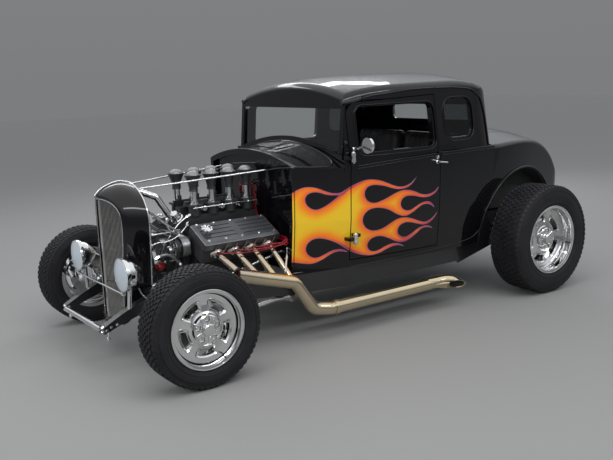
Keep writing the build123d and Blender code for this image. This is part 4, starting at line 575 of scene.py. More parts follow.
# %% The flames' outline
# x from the front axle and height, in metres, round the flame; tips are sharp
FLAME = (
    (-0.72, 0.462), (-0.70, 0.67), (-0.72, 0.885), (-0.80, 0.878), (-0.831, 0.893), (-0.869, 0.905),
    (-0.913, 0.903), (-0.951, 0.891), (-0.991, 0.872), (-1.039, 0.858), (-1.078, 0.859),
    (-1.112, 0.876, "tip"), (-1.078, 0.850), (-1.039, 0.848), (-0.99, 0.856), (-0.945, 0.872),
    (-0.907, 0.873), (-0.88, 0.857), (-0.872, 0.823), (-0.893, 0.786), (-0.931, 0.768),
    (-0.963, 0.775), (-1.004, 0.796), (-1.052, 0.829), (-1.09, 0.860), (-1.129, 0.884),
    (-1.167, 0.900), (-1.207, 0.912), (-1.247, 0.919), (-1.295, 0.917), (-1.344, 0.907),
    (-1.394, 0.888), (-1.444, 0.867), (-1.495, 0.854), (-1.541, 0.858), (-1.582, 0.874),
    (-1.620, 0.904, "tip"), (-1.580, 0.863), (-1.541, 0.846), (-1.486, 0.842), (-1.436, 0.852),
    (-1.386, 0.869), (-1.336, 0.881), (-1.287, 0.885), (-1.251, 0.873), (-1.235, 0.84),
    (-1.243, 0.807), (-1.267, 0.784), (-1.312, 0.774), (-1.353, 0.782), (-1.403, 0.798),
    (-1.453, 0.817), (-1.505, 0.829), (-1.55, 0.828), (-1.606, 0.813), (-1.653, 0.793),
    (-1.705, 0.783), (-1.752, 0.790), (-1.785, 0.806), (-1.808, 0.828, "tip"), (-1.785, 0.794),
    (-1.752, 0.777), (-1.708, 0.768), (-1.663, 0.772), (-1.616, 0.784), (-1.569, 0.792),
    (-1.528, 0.788), (-1.501, 0.765), (-1.502, 0.728), (-1.534, 0.703), (-1.571, 0.699),
    (-1.617, 0.716), (-1.654, 0.731), (-1.701, 0.738), (-1.739, 0.728), (-1.774, 0.692, "tip"),
    (-1.730, 0.718), (-1.682, 0.724), (-1.645, 0.712), (-1.599, 0.688), (-1.554, 0.670),
    (-1.517, 0.670), (-1.462, 0.691), (-1.412, 0.720), (-1.353, 0.739), (-1.296, 0.743),
    (-1.247, 0.726), (-1.222, 0.686), (-1.234, 0.642), (-1.268, 0.612), (-1.318, 0.601),
    (-1.375, 0.611), (-1.424, 0.633), (-1.473, 0.653), (-1.527, 0.657), (-1.593, 0.642),
    (-1.652, 0.619), (-1.70, 0.607), (-1.742, 0.617), (-1.775, 0.638), (-1.802, 0.664, "tip"),
    (-1.776, 0.628), (-1.739, 0.602), (-1.696, 0.593), (-1.634, 0.606), (-1.576, 0.622),
    (-1.53, 0.624), (-1.49, 0.603), (-1.483, 0.567), (-1.509, 0.539), (-1.547, 0.530),
    (-1.592, 0.545), (-1.637, 0.568), (-1.683, 0.581), (-1.732, 0.577), (-1.768, 0.558, "tip"),
    (-1.728, 0.570), (-1.678, 0.569), (-1.63, 0.541), (-1.576, 0.512), (-1.53, 0.502),
    (-1.475, 0.513), (-1.422, 0.538), (-1.362, 0.561), (-1.312, 0.561), (-1.276, 0.543),
    (-1.263, 0.510), (-1.280, 0.481), (-1.312, 0.469), (-1.351, 0.474), (-1.392, 0.489),
    (-1.433, 0.499), (-1.485, 0.496), (-1.540, 0.472, "tip"), (-1.486, 0.486), (-1.443, 0.483),
    (-1.401, 0.471), (-1.352, 0.455), (-1.295, 0.449), (-1.244, 0.456), (-1.186, 0.475),
    (-1.137, 0.50), (-1.107, 0.521), (-1.064, 0.551), (-1.02, 0.574), (-0.978, 0.589),
    (-0.939, 0.594), (-0.901, 0.581), (-0.878, 0.544), (-0.885, 0.506), (-0.91, 0.481),
    (-0.942, 0.474), (-0.981, 0.487), (-1.016, 0.503), (-1.058, 0.513), (-1.096, 0.508),
    (-1.128, 0.490, "tip"), (-1.094, 0.499), (-1.060, 0.501), (-1.024, 0.489), (-0.983, 0.465),
    (-0.943, 0.447), (-0.904, 0.440), (-0.866, 0.446), (-0.80, 0.458),
)


def flame_line():
    """The outline as a closed Bezier curve, smooth but for its tips, read as points."""
    data = bpy.data.curves.new("flame_line", "CURVE")
    data.resolution_u = 6
    spline = data.splines.new("BEZIER")
    spline.bezier_points.add(len(FLAME) - 1)
    for point, row in zip(spline.bezier_points, FLAME):
        point.co = (row[0] + AXLE_X, 0, row[1])
        kind = "VECTOR" if len(row) == 3 else "AUTO"
        point.handle_left_type = point.handle_right_type = kind
    spline.use_cyclic_u = True
    holder = bpy.data.objects.new("flame_line", data)
    bpy.context.scene.collection.objects.link(holder)
    bpy.context.view_layer.update()
    line = bpy.data.meshes.new_from_object(holder)
    points = np.array([v.co for v in line.vertices])[:, (0, 2)]
    bpy.data.objects.remove(holder)
    return points


OUTLINE = flame_line()
TIPS = np.array([(row[0] + AXLE_X, row[1]) for row in FLAME if len(row) == 3])
print("outline points", len(OUTLINE), "tips", len(TIPS))


# %% How far a point lies inside the outline
def depth_inside(where):
    """Distance from each (x, z) to the outline, above 0 inside it and below outside."""
    start, end = OUTLINE, np.roll(OUTLINE, -1, axis=0)
    nearest = np.full(len(where), 9.0)
    inside = np.zeros(len(where), bool)
    for a, b in zip(start, end):
        along = b - a
        share = np.clip(((where - a) @ along) / max(along @ along, 1e-12), 0, 1)
        gap = np.linalg.norm(where - a - share[:, None] * along, axis=1)
        nearest = np.minimum(nearest, gap)
        if a[1] != b[1]:
            crosses = (a[1] > where[:, 1]) != (b[1] > where[:, 1])
            at_x = a[0] + (where[:, 1] - a[1]) * along[0] / along[1]
            inside ^= crosses & (where[:, 0] < at_x)
    return np.where(inside, nearest, -nearest)


# %% The flame paint
def flame_paint():
    """Sprayed flames over black from the stored distances, under the same clear coat."""
    material, tree, output = new_material("flame_paint")
    inside = tree.nodes.new("ShaderNodeAttribute")
    inside.attribute_name = "inside"
    tip = tree.nodes.new("ShaderNodeAttribute")
    tip.attribute_name = "tip"
    cloud = tree.nodes.new("ShaderNodeTexNoise")
    cloud.inputs["Scale"].default_value = 14
    tree.links.new(place_nodes(tree), cloud.inputs["Vector"])
    spray = tree.nodes.new("ShaderNodeMapRange")
    spray.inputs["To Min"].default_value = -0.006
    spray.inputs["To Max"].default_value = 0.006
    tree.links.new(cloud.outputs["Fac"], spray.inputs["Value"])
    soft = tree.nodes.new("ShaderNodeMath")
    soft.operation = "ADD"
    tree.links.new(inside.outputs["Fac"], soft.inputs[0])
    tree.links.new(spray.outputs["Result"], soft.inputs[1])
    scaled = tree.nodes.new("ShaderNodeMapRange")
    scaled.inputs["From Max"].default_value = 0.075
    tree.links.new(soft.outputs[0], scaled.inputs["Value"])
    ramp = tree.nodes.new("ShaderNodeValToRGB")
    stops = ramp.color_ramp.elements
    stops[0].position, stops[0].color = 0.0, (0.78, 0.09, 0.03, 1)
    stops[1].position, stops[1].color = 1.0, (0.86, 0.55, 0.02, 1)
    for place, colour in ((0.12, (0.92, 0.17, 0.02, 1)), (0.36, (0.94, 0.27, 0.015, 1)),
                          (0.7, (0.90, 0.46, 0.015, 1))):
        stop = stops.new(place)
        stop.color = colour
    tree.links.new(scaled.outputs["Result"], ramp.inputs["Fac"])
    licks = tree.nodes.new("ShaderNodeMix")
    licks.data_type = "RGBA"
    licks.inputs["B"].default_value = (0.48, 0.03, 0.08, 1)
    tree.links.new(tip.outputs["Fac"], licks.inputs["Factor"])
    tree.links.new(ramp.outputs["Color"], licks.inputs["A"])
    edge = tree.nodes.new("ShaderNodeMapRange")
    edge.inputs["From Min"].default_value = -0.0004
    edge.inputs["From Max"].default_value = 0.0004
    tree.links.new(inside.outputs["Fac"], edge.inputs["Value"])
    laid = tree.nodes.new("ShaderNodeMix")
    laid.data_type = "RGBA"
    laid.inputs["A"].default_value = (0.006, 0.006, 0.0085, 1)
    tree.links.new(edge.outputs["Result"], laid.inputs["Factor"])
    tree.links.new(licks.outputs["Result"], laid.inputs["B"])
    near = tree.nodes.new("ShaderNodeMath")
    near.operation = "ABSOLUTE"
    tree.links.new(inside.outputs["Fac"], near.inputs[0])
    line = tree.nodes.new("ShaderNodeMapRange")
    line.inputs["From Min"].default_value = 0.0015
    line.inputs["From Max"].default_value = 0.0007
    tree.links.new(near.outputs[0], line.inputs["Value"])
    lined = tree.nodes.new("ShaderNodeMix")
    lined.data_type = "RGBA"
    lined.inputs["B"].default_value = (0.30, 0.15, 0.30, 1)
    tree.links.new(line.outputs["Result"], lined.inputs["Factor"])
    tree.links.new(laid.outputs["Result"], lined.inputs["A"])
    rough = tree.nodes.new("ShaderNodeMapRange")
    rough.inputs["To Min"].default_value = 0.26
    rough.inputs["To Max"].default_value = 0.4
    tree.links.new(cloud.outputs["Fac"], rough.inputs["Value"])
    shade(tree, output, lined.outputs["Result"], rough.outputs["Result"], 0,
          Coat_Weight=1.0, Coat_Roughness=0.015, Coat_IOR=1.45, Specular_IOR_Level=0.05)
    return material


FLAME_PAINT = flame_paint()
print("flame paint ready")

# %% [markdown]
# The skin is a plane of small squares that stands beside the car. A Shrinkwrap
# modifier moves each point sideways until it meets the panel. Squares far from the
# flame are then taken away, so that only the painted zone keeps a second skin.

# %% The flame skins
FLAME_CELL = 0.0045


def flame_skin(panel, side, start_x, end_x):
    """A close skin over one panel, from start_x back to end_x, measured from the axle."""
    low_z, high_z = 0.425, 0.935
    deselect()
    length, height = start_x - end_x, high_z - low_z
    bpy.ops.mesh.primitive_grid_add(
        x_subdivisions=round(length / FLAME_CELL), y_subdivisions=round(height / FLAME_CELL), size=1,
        location=((start_x + end_x) / 2 + AXLE_X, side * 0.9, (low_z + high_z) / 2),
        rotation=(math.radians(90), 0, 0))
    piece = bpy.context.object
    piece.scale = (length, height, 1)
    bpy.ops.object.transform_apply(location=True, rotation=True, scale=True)
    wrap = piece.modifiers.new("onto_panel", "SHRINKWRAP")
    wrap.wrap_method = "PROJECT"
    wrap.use_project_y = True
    wrap.use_project_x = wrap.use_project_z = False
    wrap.use_negative_direction = side > 0
    wrap.use_positive_direction = side < 0
    wrap.target = panel
    wrap.offset = 0
    apply_all(piece)
    places = np.array([v.co for v in piece.data.vertices])
    inside = depth_inside(places[:, (0, 2)])
    tip_gap = np.min(np.linalg.norm(places[:, None, (0, 2)] - TIPS[None], axis=2), axis=1)
    landed = np.abs(places[:, 1]) < 0.89
    level_hinge(places)
    places[:, 1] += side * 0.0005
    piece.data.vertices.foreach_set("co", places.astype(np.float32).ravel())
    lick = np.clip(1.25 - tip_gap / 0.12, 0, 1) * np.clip(1 - (inside - 0.007) / 0.010, 0, 1)
    for name, values in (("inside", inside), ("tip", lick)):
        layer = piece.data.attributes.new(name, "FLOAT", "POINT")
        layer.data.foreach_set("value", values.astype(np.float32))
    keep = landed & (inside > -0.008)
    bpy.ops.object.mode_set(mode="EDIT")
    bpy.ops.mesh.select_all(action="DESELECT")
    bpy.ops.mesh.select_mode(type="VERT")
    bpy.ops.object.mode_set(mode="OBJECT")
    piece.data.vertices.foreach_set("select", ~keep)
    bpy.ops.object.mode_set(mode="EDIT")
    bpy.ops.mesh.delete(type="VERT")
    bpy.ops.mesh.select_all(action="SELECT")
    bpy.ops.mesh.normals_make_consistent(inside=False)
    bpy.ops.object.mode_set(mode="OBJECT")
    face_out(piece, side)
    return piece


HINGE_LEAF_X, HINGE_LEAF_Z = AXLE_X - 1.1425, 0.575


def level_hinge(places):
    """Carries the panel's own surface under the low hinge leaf, which stands proud of it."""
    near = (np.abs(places[:, 0] - HINGE_LEAF_X) < 0.048) & (np.abs(places[:, 2] - HINGE_LEAF_Z - 0.01) < 0.05)
    for index in np.flatnonzero(near):
        column = np.abs(places[:, 0] - places[index, 0]) < 0.001
        height = places[:, 2] - HINGE_LEAF_Z
        above = places[column & (height > 0.062) & (height < 0.08), 1]
        below = places[column & (height < -0.042) & (height > -0.06), 1]
        if len(above) and len(below):
            share = (height[index] + 0.05) / 0.12
            places[index, 1] = below.mean() * (1 - share) + above.mean() * share


def face_out(piece, side):
    """Turns a side skin's faces away from the car's middle."""
    if side * sum(p.normal.y for p in piece.data.polygons) < 0:
        pick(piece)
        bpy.ops.object.mode_set(mode="EDIT")
        bpy.ops.mesh.select_all(action="SELECT")
        bpy.ops.mesh.flip_normals()
        bpy.ops.object.mode_set(mode="OBJECT")


for side in (1, -1):
    cowl_skin = flame_skin(PIECES["cowl"], side, -0.8005, -1.1395)
    settle(cowl_skin, "flames_cowl_" + side_name(side), "chassis", FLAME_PAINT, angle=60)
    door = "door_" + side_name(side)
    door_skin = flame_skin(PIECES[door], side, -1.1455, -1.8135)
    settle(door_skin, "flames_" + door, door, FLAME_PAINT, angle=60)
    print(side_name(side), "flame faces", len(cowl_skin.data.polygons), len(door_skin.data.polygons))

# %% [markdown]
# ## Turned pieces and small blocks
#
# Many small things on the car are turned: tyres, boots, fittings, caps. A lathe does
# this with a profile that is swept round an axis. Here the profile starts as one point,
# grows by extruding from point to point, and the Spin operator sweeps it round.

# %% Helpers that turn, box, join and copy
def lathe(profile, steps, centre=(0, 0, 0), axis="Z"):
    """Sweeps (height along the axis, radius) pairs round the Z or the Y axis at centre."""
    deselect()
    bpy.ops.mesh.primitive_plane_add(size=0.001)
    piece = bpy.context.object
    bpy.ops.object.mode_set(mode="EDIT")
    bpy.ops.mesh.select_mode(type="VERT")
    bpy.ops.mesh.select_all(action="SELECT")
    bpy.ops.mesh.merge(type="CENTER")
    along, out = (2, 0) if axis == "Z" else (1, 2)
    before = Vector()
    for index, (height, radius) in enumerate(profile):
        place = Vector()
        place[along], place[out] = height, max(radius, 0.00001)
        if index:
            bpy.ops.mesh.extrude_vertices_move(TRANSFORM_OT_translate={"value": place - before})
        else:
            bpy.ops.transform.translate(value=place)
        before = place
    bpy.ops.mesh.select_all(action="SELECT")
    turn = (0, 0, 1) if axis == "Z" else (0, 1, 0)
    bpy.ops.mesh.spin(steps=steps, angle=math.tau, center=(0, 0, 0), axis=turn)
    bpy.ops.mesh.select_all(action="SELECT")
    bpy.ops.mesh.remove_doubles(threshold=0.00003)
    bpy.ops.mesh.normals_make_consistent(inside=False)
    bpy.ops.mesh.select_all(action="DESELECT")
    bpy.ops.object.mode_set(mode="OBJECT")
    piece.location = centre
    bpy.ops.object.transform_apply(location=True, rotation=True, scale=True)
    return piece


def block(place, size, turn=(0, 0, 0), bevel=0.0, segments=1):
    """A cube at its place, size and turn in degrees, with its edges bevelled."""
    deselect()
    bpy.ops.mesh.primitive_cube_add(size=1, location=place, rotation=[math.radians(v) for v in turn])
    piece = bpy.context.object
    piece.scale = size
    bpy.ops.object.transform_apply(location=True, rotation=True, scale=True)
    if bevel:
        rounding = piece.modifiers.new("edges", "BEVEL")
        rounding.width = bevel
        rounding.segments = segments
        apply_all(piece)
    return piece


def join(pieces):
    """Joins several pieces into the first one."""
    deselect()
    for piece in pieces:
        piece.select_set(True)
    bpy.context.view_layer.objects.active = pieces[0]
    if len(pieces) > 1:
        bpy.ops.object.join()
    return pieces[0]


def copy_at(piece, matrix):
    """A copy with its own mesh, carried by a matrix."""
    twin = bpy.data.objects.new(piece.name, piece.data.copy())
    bpy.context.scene.collection.objects.link(twin)
    pick(twin)
    twin.matrix_world = matrix @ piece.matrix_world
    bpy.ops.object.transform_apply(location=True, rotation=True, scale=True)
    return twin


# %% Helpers for pieces set at a place and direction
def aimed(place, direction, spin=0):
    """The matrix that stands a piece, made along Z at the origin, at a place."""
    turn = Vector(direction).to_track_quat("Z", "Y").to_matrix().to_4x4()
    return Matrix.Translation(Vector(place)) @ turn @ Matrix.Rotation(math.radians(spin), 4, "Z")


def from_axle(x, y, z):
    """A row frame point from distances to the front axle, in metres."""
    return Vector((x + AXLE_X, y, z))


def scatter(name, pattern, spots, body, material, angle=35):
    """Copies of one modelled piece at every matrix, joined as one piece."""
    copies = [copy_at(pattern, spot) for spot in spots]
    bpy.data.objects.remove(pattern)
    return settle(join(copies), name, body, material, angle)


def on_both_sides(left, body="chassis"):
    """Adds the right-hand twin of a left-hand piece."""
    return other_side(left, left.name.replace("left", "right"), body.replace("left", "right"))

# %% [markdown]
# ## Tyres
#
# A road tyre has three parts that catch the eye: a sidewall with fine raised rings, a
# rounded shoulder with wrapped lugs, and a crown of rubber blocks cut by grooves. The
# carcass is turned, and one pitch of the tread is built at the tyre's top and spun
# round with Spin's duplicate option, so that all pitches are alike, as from a mould.

# %% One tyre
def carcass(side, centre, radius, width, face_y, rim_r):
    """The sidewalls and the groove floor, turned about the wheel's axis."""
    half, mid = width / 2, (radius + rim_r) / 2
    middle = side * (face_y + 0.009 - half)
    outer = [(half - 0.021, rim_r - 0.010), (half - 0.0185, rim_r + 0.0045), (half - 0.008, rim_r + 0.007),
             (half - 0.0062, rim_r + 0.013), (half - 0.0070, rim_r + 0.0135), (half - 0.0050, rim_r + 0.0175),
             (half - 0.0036, rim_r + 0.024), (half - 0.0014, rim_r + 0.0255), (half - 0.0012, rim_r + 0.0285),
             (half - 0.0030, rim_r + 0.0300), (half - 0.0002, mid - 0.008), (half, mid),
             (half - 0.0014, mid + 0.012), (half - 0.0048, radius - 0.037), (half - 0.0024, radius - 0.0355),
             (half - 0.0028, radius - 0.0325), (half - 0.0056, radius - 0.031), (half - 0.0075, radius - 0.024),
             (half - 0.0100, radius - 0.0165), (half - 0.0170, radius - 0.0105), (half - 0.0260, radius - 0.0082)]
    profile = outer + [(0, radius - 0.0078)] + [(-y, r) for y, r in reversed(outer)]
    profile = [(middle + y, r) for y, r in profile]
    return lathe(profile, 96, (centre[0], 0, centre[2]), "Y")


def tread(side, centre, radius, width, face_y, pitches):
    """One pitch of blocks and lugs at the tyre's top, repeated round it."""
    half = width / 2
    middle = side * (face_y + 0.009 - half)
    pitch = math.tau * radius / pitches
    reach = (half - 0.022) / 3.3
    blocks = []
    for out, shift, slant, share, fill in ((0.42, 0.0, 18, 0.74, 0.62), (1.36, 0.5, -24, 0.78, 0.66),
                                           (2.35, 0.15, -14, 0.82, 0.7)):
        for hand in (1, -1):
            lean = ((shift + (0.5 if hand < 0 else 0)) % 1 - 0.5) * math.tau / pitches
            block_r = radius - 0.0062 - 0.0004 * out
            place = (centre[0] + block_r * math.sin(lean), middle + hand * out * reach,
                     centre[2] + block_r * math.cos(lean))
            blocks.append(block(place, (pitch * fill, reach * share, 0.010),
                                (0, math.degrees(lean), hand * slant), 0.0011))
    for hand in (1, -1):
        lean = ((0.65 + (0.5 if hand < 0 else 0)) % 1 - 0.5) * math.tau / pitches
        place = (centre[0] + (radius - 0.0125) * math.sin(lean), middle + hand * (half - 0.0165),
                 centre[2] + (radius - 0.0125) * math.cos(lean))
        blocks.append(block(place, (pitch * 0.66, 0.021, 0.009), (-hand * 42, math.degrees(lean), 0), 0.0011))
    piece = join(blocks)
    bpy.ops.object.mode_set(mode="EDIT")
    bpy.ops.mesh.select_all(action="SELECT")
    bpy.ops.mesh.spin(steps=pitches - 1, dupli=True, angle=math.tau * (pitches - 1) / pitches,
                      center=centre, axis=(0, 1, 0))
    bpy.ops.object.mode_set(mode="OBJECT")
    return piece


# %% Four tyres
TYRES = (("front", 0.0, FRONT_TYRE_R, 0.190, 0.860, 0.209, 60),
         ("rear", -WHEELBASE, REAR_TYRE_R, 0.255, 0.855, 0.235, 66))
for end, x, radius, width, face_y, rim_r, pitches in TYRES:
    for side in (1, -1):
        centre = (x + AXLE_X, 0, radius)
        rubber_piece = join([carcass(side, centre, radius, width, face_y, rim_r),
                             tread(side, centre, radius, width, face_y, pitches)])
        node = "tyre_%s_%s" % (end, side_name(side))
        settle(rubber_piece, "road_" + node, body_of(NODES[node])[0], rubber, angle=28)
        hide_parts(node)
        low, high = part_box(node)
        print(node, len(rubber_piece.data.polygons), [round(v, 3) for v in low], [round(v, 3) for v in high])

# %% [markdown]
# ## Raised beads
#
# The body's swage lines are half-round beads pressed in the sheet. On gloss black they
# are all that the eye reads: each shows one thin bright line where it turns towards the
# sky. A bead here is a curve laid on the panel by casting rays at it, thickened with a
# round bevel and sunk to about half in the metal.

# %% Beads laid on the panels
def touch(piece, start, towards):
    """Where a ray meets a piece, or nothing."""
    found, place, _, _ = piece.ray_cast(Vector(start), Vector(towards))
    return place if found else None


def rounded_points(points, closed):
    """Extra points along the runs between given points, so that a bead follows the panel."""
    dense = []
    pairs = zip(points, points[1:] + points[:1]) if closed else zip(points, points[1:])
    for a, b in pairs:
        a, b = Vector(a), Vector(b)
        count = max(1, round((b - a).length / 0.04))
        dense += [a.lerp(b, step / count) for step in range(count)]
    return dense if closed else dense + [Vector(points[-1])]


def bead(name, panels, points, radius, body, material, sink=0.4, closed=False, down=False):
    """A round bead along (x, z) points on a side, or (x, y) points on top, from the axle."""
    laid = []
    for point in rounded_points(points, closed):
        x = point[0] + AXLE_X
        for panel in panels:
            if down:
                place = touch(panel, (x, point[1], 2), (0, 0, -1))
                lift = Vector((0, 0, 1))
            else:
                place = touch(panel, (x, 1.2, point[1]), (0, -1, 0))
                lift = Vector((0, 1, 0))
            if place is not None:
                laid.append(place + lift * radius * (1 - 2 * sink))
                break
    return tube(name, laid, radius, body, material, closed)


def tube(name, places, radius, body, material, closed=False, resolution=3):
    """A smooth tube through places, as a mesh."""
    data = bpy.data.curves.new(name, "CURVE")
    data.dimensions = "3D"
    data.bevel_depth = radius
    data.bevel_resolution = resolution
    data.use_fill_caps = True
    spline = data.splines.new("NURBS")
    spline.points.add(len(places) - 1)
    for point, place in zip(spline.points, places):
        point.co = (*place, 1)
    spline.order_u = 3
    spline.use_endpoint_u = not closed
    spline.use_cyclic_u = closed
    spline.resolution_u = 3
    piece = bpy.data.objects.new(name, data)
    bpy.context.scene.collection.objects.link(piece)
    pick(piece)
    bpy.ops.object.convert(target="MESH")
    piece = bpy.context.object
    return settle(piece, name, body, material, angle=50)


def other_side(piece, name, body):
    """The mirrored twin of a left-hand piece, with its faces turned out again."""
    twin = bpy.data.objects.new(name, piece.data.copy())
    bpy.context.scene.collection.objects.link(twin)
    pick(twin)
    bpy.ops.object.mode_set(mode="EDIT")
    bpy.ops.mesh.select_all(action="SELECT")
    bpy.ops.transform.mirror(constraint_axis=(False, True, False), orient_type="GLOBAL",
                             center_override=(0, 0, 0))
    bpy.ops.mesh.normals_make_consistent(inside=False)
    bpy.ops.object.mode_set(mode="OBJECT")
    twin.name = twin.data.name = name
    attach(twin, body)
    return twin

# %% [markdown]
# ## The grille shell
#
# The shell is one pressed sheet: its edge rolls in at the grille, bends round a soft
# corner and runs back to a round arched rear edge. Such a skin is drawn best as a row of
# lines from front to rear. Each line is the same arch with its own width and height, all
# have the same number of points, and Bridge Edge Loops lays the sheet between them.

# %% Lines of the shell
SHELL_LINES = (
    # How far each line lies forward at the middle, its fall to the sides, and its left
    # half from foot to crown as (out, up), in millimetres from the axle.
    (163, 0.34, ((136, 214), (149, 300), (158, 420), (166, 540), (174, 640), (180, 720), (181, 785),
                 (173, 834), (152, 867), (119, 890), (80, 905), (40, 912), (0, 914))),
    (193, 0.34, ((137, 212), (150, 300), (159, 420), (167, 540), (175, 640), (181, 720), (182, 785),
                 (174, 835), (153, 868), (120, 891), (81, 906), (40, 913), (0, 915))),
    (203, 0.34, ((143, 208), (157, 296), (167, 420), (175, 540), (183, 640), (189, 720), (190, 788),
                 (182, 841), (160, 877), (126, 901), (85, 916), (42, 924), (0, 926))),
    (197, 0.32, ((147, 206), (163, 293), (174, 420), (182, 540), (190, 640), (196, 720), (197, 790),
                 (189, 845), (167, 884), (132, 911), (89, 929), (44, 939), (0, 942))),
    (160, 0.21, ((164, 214), (177, 300), (188, 425), (197, 542), (205, 642), (210, 721), (211, 791),
                 (202, 850), (178, 895), (140, 928), (95, 952), (48, 968), (0, 974))),
    (66, 0.0, ((198, 320), (204, 372), (212, 455), (219, 552), (226, 646), (230, 722), (230.5, 790),
               (220, 853), (193, 905), (152, 945), (103, 976), (52, 997), (0, 1004))),
    (-10, 0.0, ((209, 402), (213, 440), (218, 500), (224, 572), (231, 650), (235, 721), (235.5, 785),
                (225, 845), (197, 893), (155, 930), (104, 957), (52, 976), (0, 984))),
)


def vertex_line(places):
    """A new mesh edge line through places, each extruded from the one before."""
    deselect()
    bpy.ops.mesh.primitive_plane_add(size=0.001)
    bpy.ops.object.mode_set(mode="EDIT")
    bpy.ops.mesh.select_mode(type="VERT")
    bpy.ops.mesh.merge(type="CENTER")
    bpy.ops.transform.translate(value=places[0])
    for before, place in zip(places, places[1:]):
        bpy.ops.mesh.extrude_vertices_move(TRANSFORM_OT_translate={"value": place - before})
    bpy.ops.object.mode_set(mode="OBJECT")
    return bpy.context.object


def whole_arch(line):
    """The places of one line, from the right foot over the crown to the left foot."""
    ahead, fall, half = line
    left = [Vector(((ahead - fall * out) / 1000 + AXLE_X, out / 1000, up / 1000)) for out, up in half]
    return [Vector((p.x, -p.y, p.z)) for p in left[:-1]] + left[::-1]


lines = [vertex_line(whole_arch(line)) for line in SHELL_LINES]
count = len(lines[0].data.vertices)
sheets = []
for first, second in zip(lines, lines[1:]):
    pair = join([copy_at(first, Matrix()), copy_at(second, Matrix())])
    bpy.ops.object.mode_set(mode="EDIT")
    bpy.ops.mesh.select_all(action="SELECT")
    bpy.ops.mesh.bridge_edge_loops(type="PAIRS")
    bpy.ops.object.mode_set(mode="OBJECT")
    sheets.append(pair)
for line in lines:
    bpy.data.objects.remove(line)
shell = join(sheets)
bpy.ops.object.mode_set(mode="EDIT")
bpy.ops.mesh.select_all(action="SELECT")
bpy.ops.mesh.remove_doubles(threshold=0.0002)
bpy.ops.mesh.normals_make_consistent(inside=False)
bpy.ops.object.mode_set(mode="OBJECT")
face_out(shell, 1)
wall = shell.modifiers.new("wall", "SOLIDIFY")
wall.thickness = 0.0016
wall.offset = -1
round_off = shell.modifiers.new("round", "SUBSURF")
round_off.levels = round_off.render_levels = 2
apply_all(shell)
settle(shell, "rolled_grille_shell", "chassis", black_paint, 60)
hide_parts("grille_shell")
PIECES["grille_shell"] = shell
print("shell", count, "points a line,", len(shell.data.polygons), "faces")

# %% [markdown]
# The grille behind it is a set of upright bars in a vee. One bar is modelled, and each
# copy is stretched to the height of the opening where it stands. The middle bar is wider,
# and a thin bright rim follows the opening.

# %% Grille bars and rim
OPENING = SHELL_LINES[1][2]


def opening_top(out):
    """The height of the opening at a distance from the middle, and of its foot there."""
    for (out_a, up_a), (out_b, up_b) in zip(OPENING[6:], OPENING[7:]):
        if out_b <= out <= out_a:
            return up_b + (up_a - up_b) * (out - out_b) / (out_a - out_b)
    return OPENING[6][1]


def opening_foot(out):
    """The lowest height at which the opening is as wide as this."""
    for (out_a, up_a), (out_b, up_b) in zip(OPENING, OPENING[1:7]):
        if out <= out_a:
            return 216
        if out <= out_b:
            return up_a + (up_b - up_a) * (out - out_a) / (out_b - out_a)
    return OPENING[6][1]


bar = block((0, 0, 0.5), (0.009, 0.0040, 1.0), bevel=0.0012)
bars = []
for index in range(-18, 19):
    out = abs(index) * 10
    foot, top = opening_foot(out) - 4, opening_top(out) + 3
    thick = 3.2 if index == 0 else 1
    stand = Matrix.Translation(((181 - 0.34 * out) / 1000 + AXLE_X, index / 100, foot / 1000))
    bars.append(copy_at(bar, stand @ Matrix.Diagonal((1, thick, (top - foot) / 1000, 1))))
bpy.data.objects.remove(bar)
for height in (330, 480, 630, 780, 880):
    for hand in (1, -1):
        reach = 0.150 if height < 800 else 0.118
        bars.append(block(((181 - 0.34 * reach * 500 - 7) / 1000 + AXLE_X, hand * reach / 2, height / 1000),
                          (0.004, reach * 1.06, 0.006), (0, 0, hand * 18.8), 0.001))
grille = settle(join(bars), "vee_grille_bars", "chassis", bright_steel, 40)
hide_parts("grille")
for hand, side in ((1, "left"), (-1, "right")):
    foot_bar = block(((196 - 0.34 * 70) / 1000 + AXLE_X, hand * 0.070, 0.214), (0.022, 0.152, 0.020),
                     (0, 0, hand * 18.8), 0.007, 3)
    settle(foot_bar, "shell_foot_" + side, "chassis", black_paint, 50)
rim = [p + Vector((0.0035, 0, 0)) for p in whole_arch(SHELL_LINES[1])]
tube("grille_rim", rim, 0.0022, "chassis", chrome)
STRIP_LINE = ((0.2035, 0.921), (0.2045, 0.932), (0.195, 0.9475), (0.160, 0.9735), (0.11, 0.9915),
              (0.066, 1.0015), (0.03, 0.9965), (-0.009, 0.9835))
strip = [from_axle(x, 0, z) for x, z in STRIP_LINE]
strip = tube("crown_strip", strip, 0.0046, "chassis", chrome)
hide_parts("shell_trim")
cap_end = lathe([(-0.004, 0), (-0.004, 0.0060), (0.001, 0.0078), (0.005, 0.0064), (0.0068, 0.0030), (0.007, 0)], 20)
cap_end.data.transform(aimed(from_axle(0.2045, 0, 0.934), (1, 0, 0.35)))
settle(cap_end, "crown_strip_end", "chassis", chrome)
print("grille and rim done")

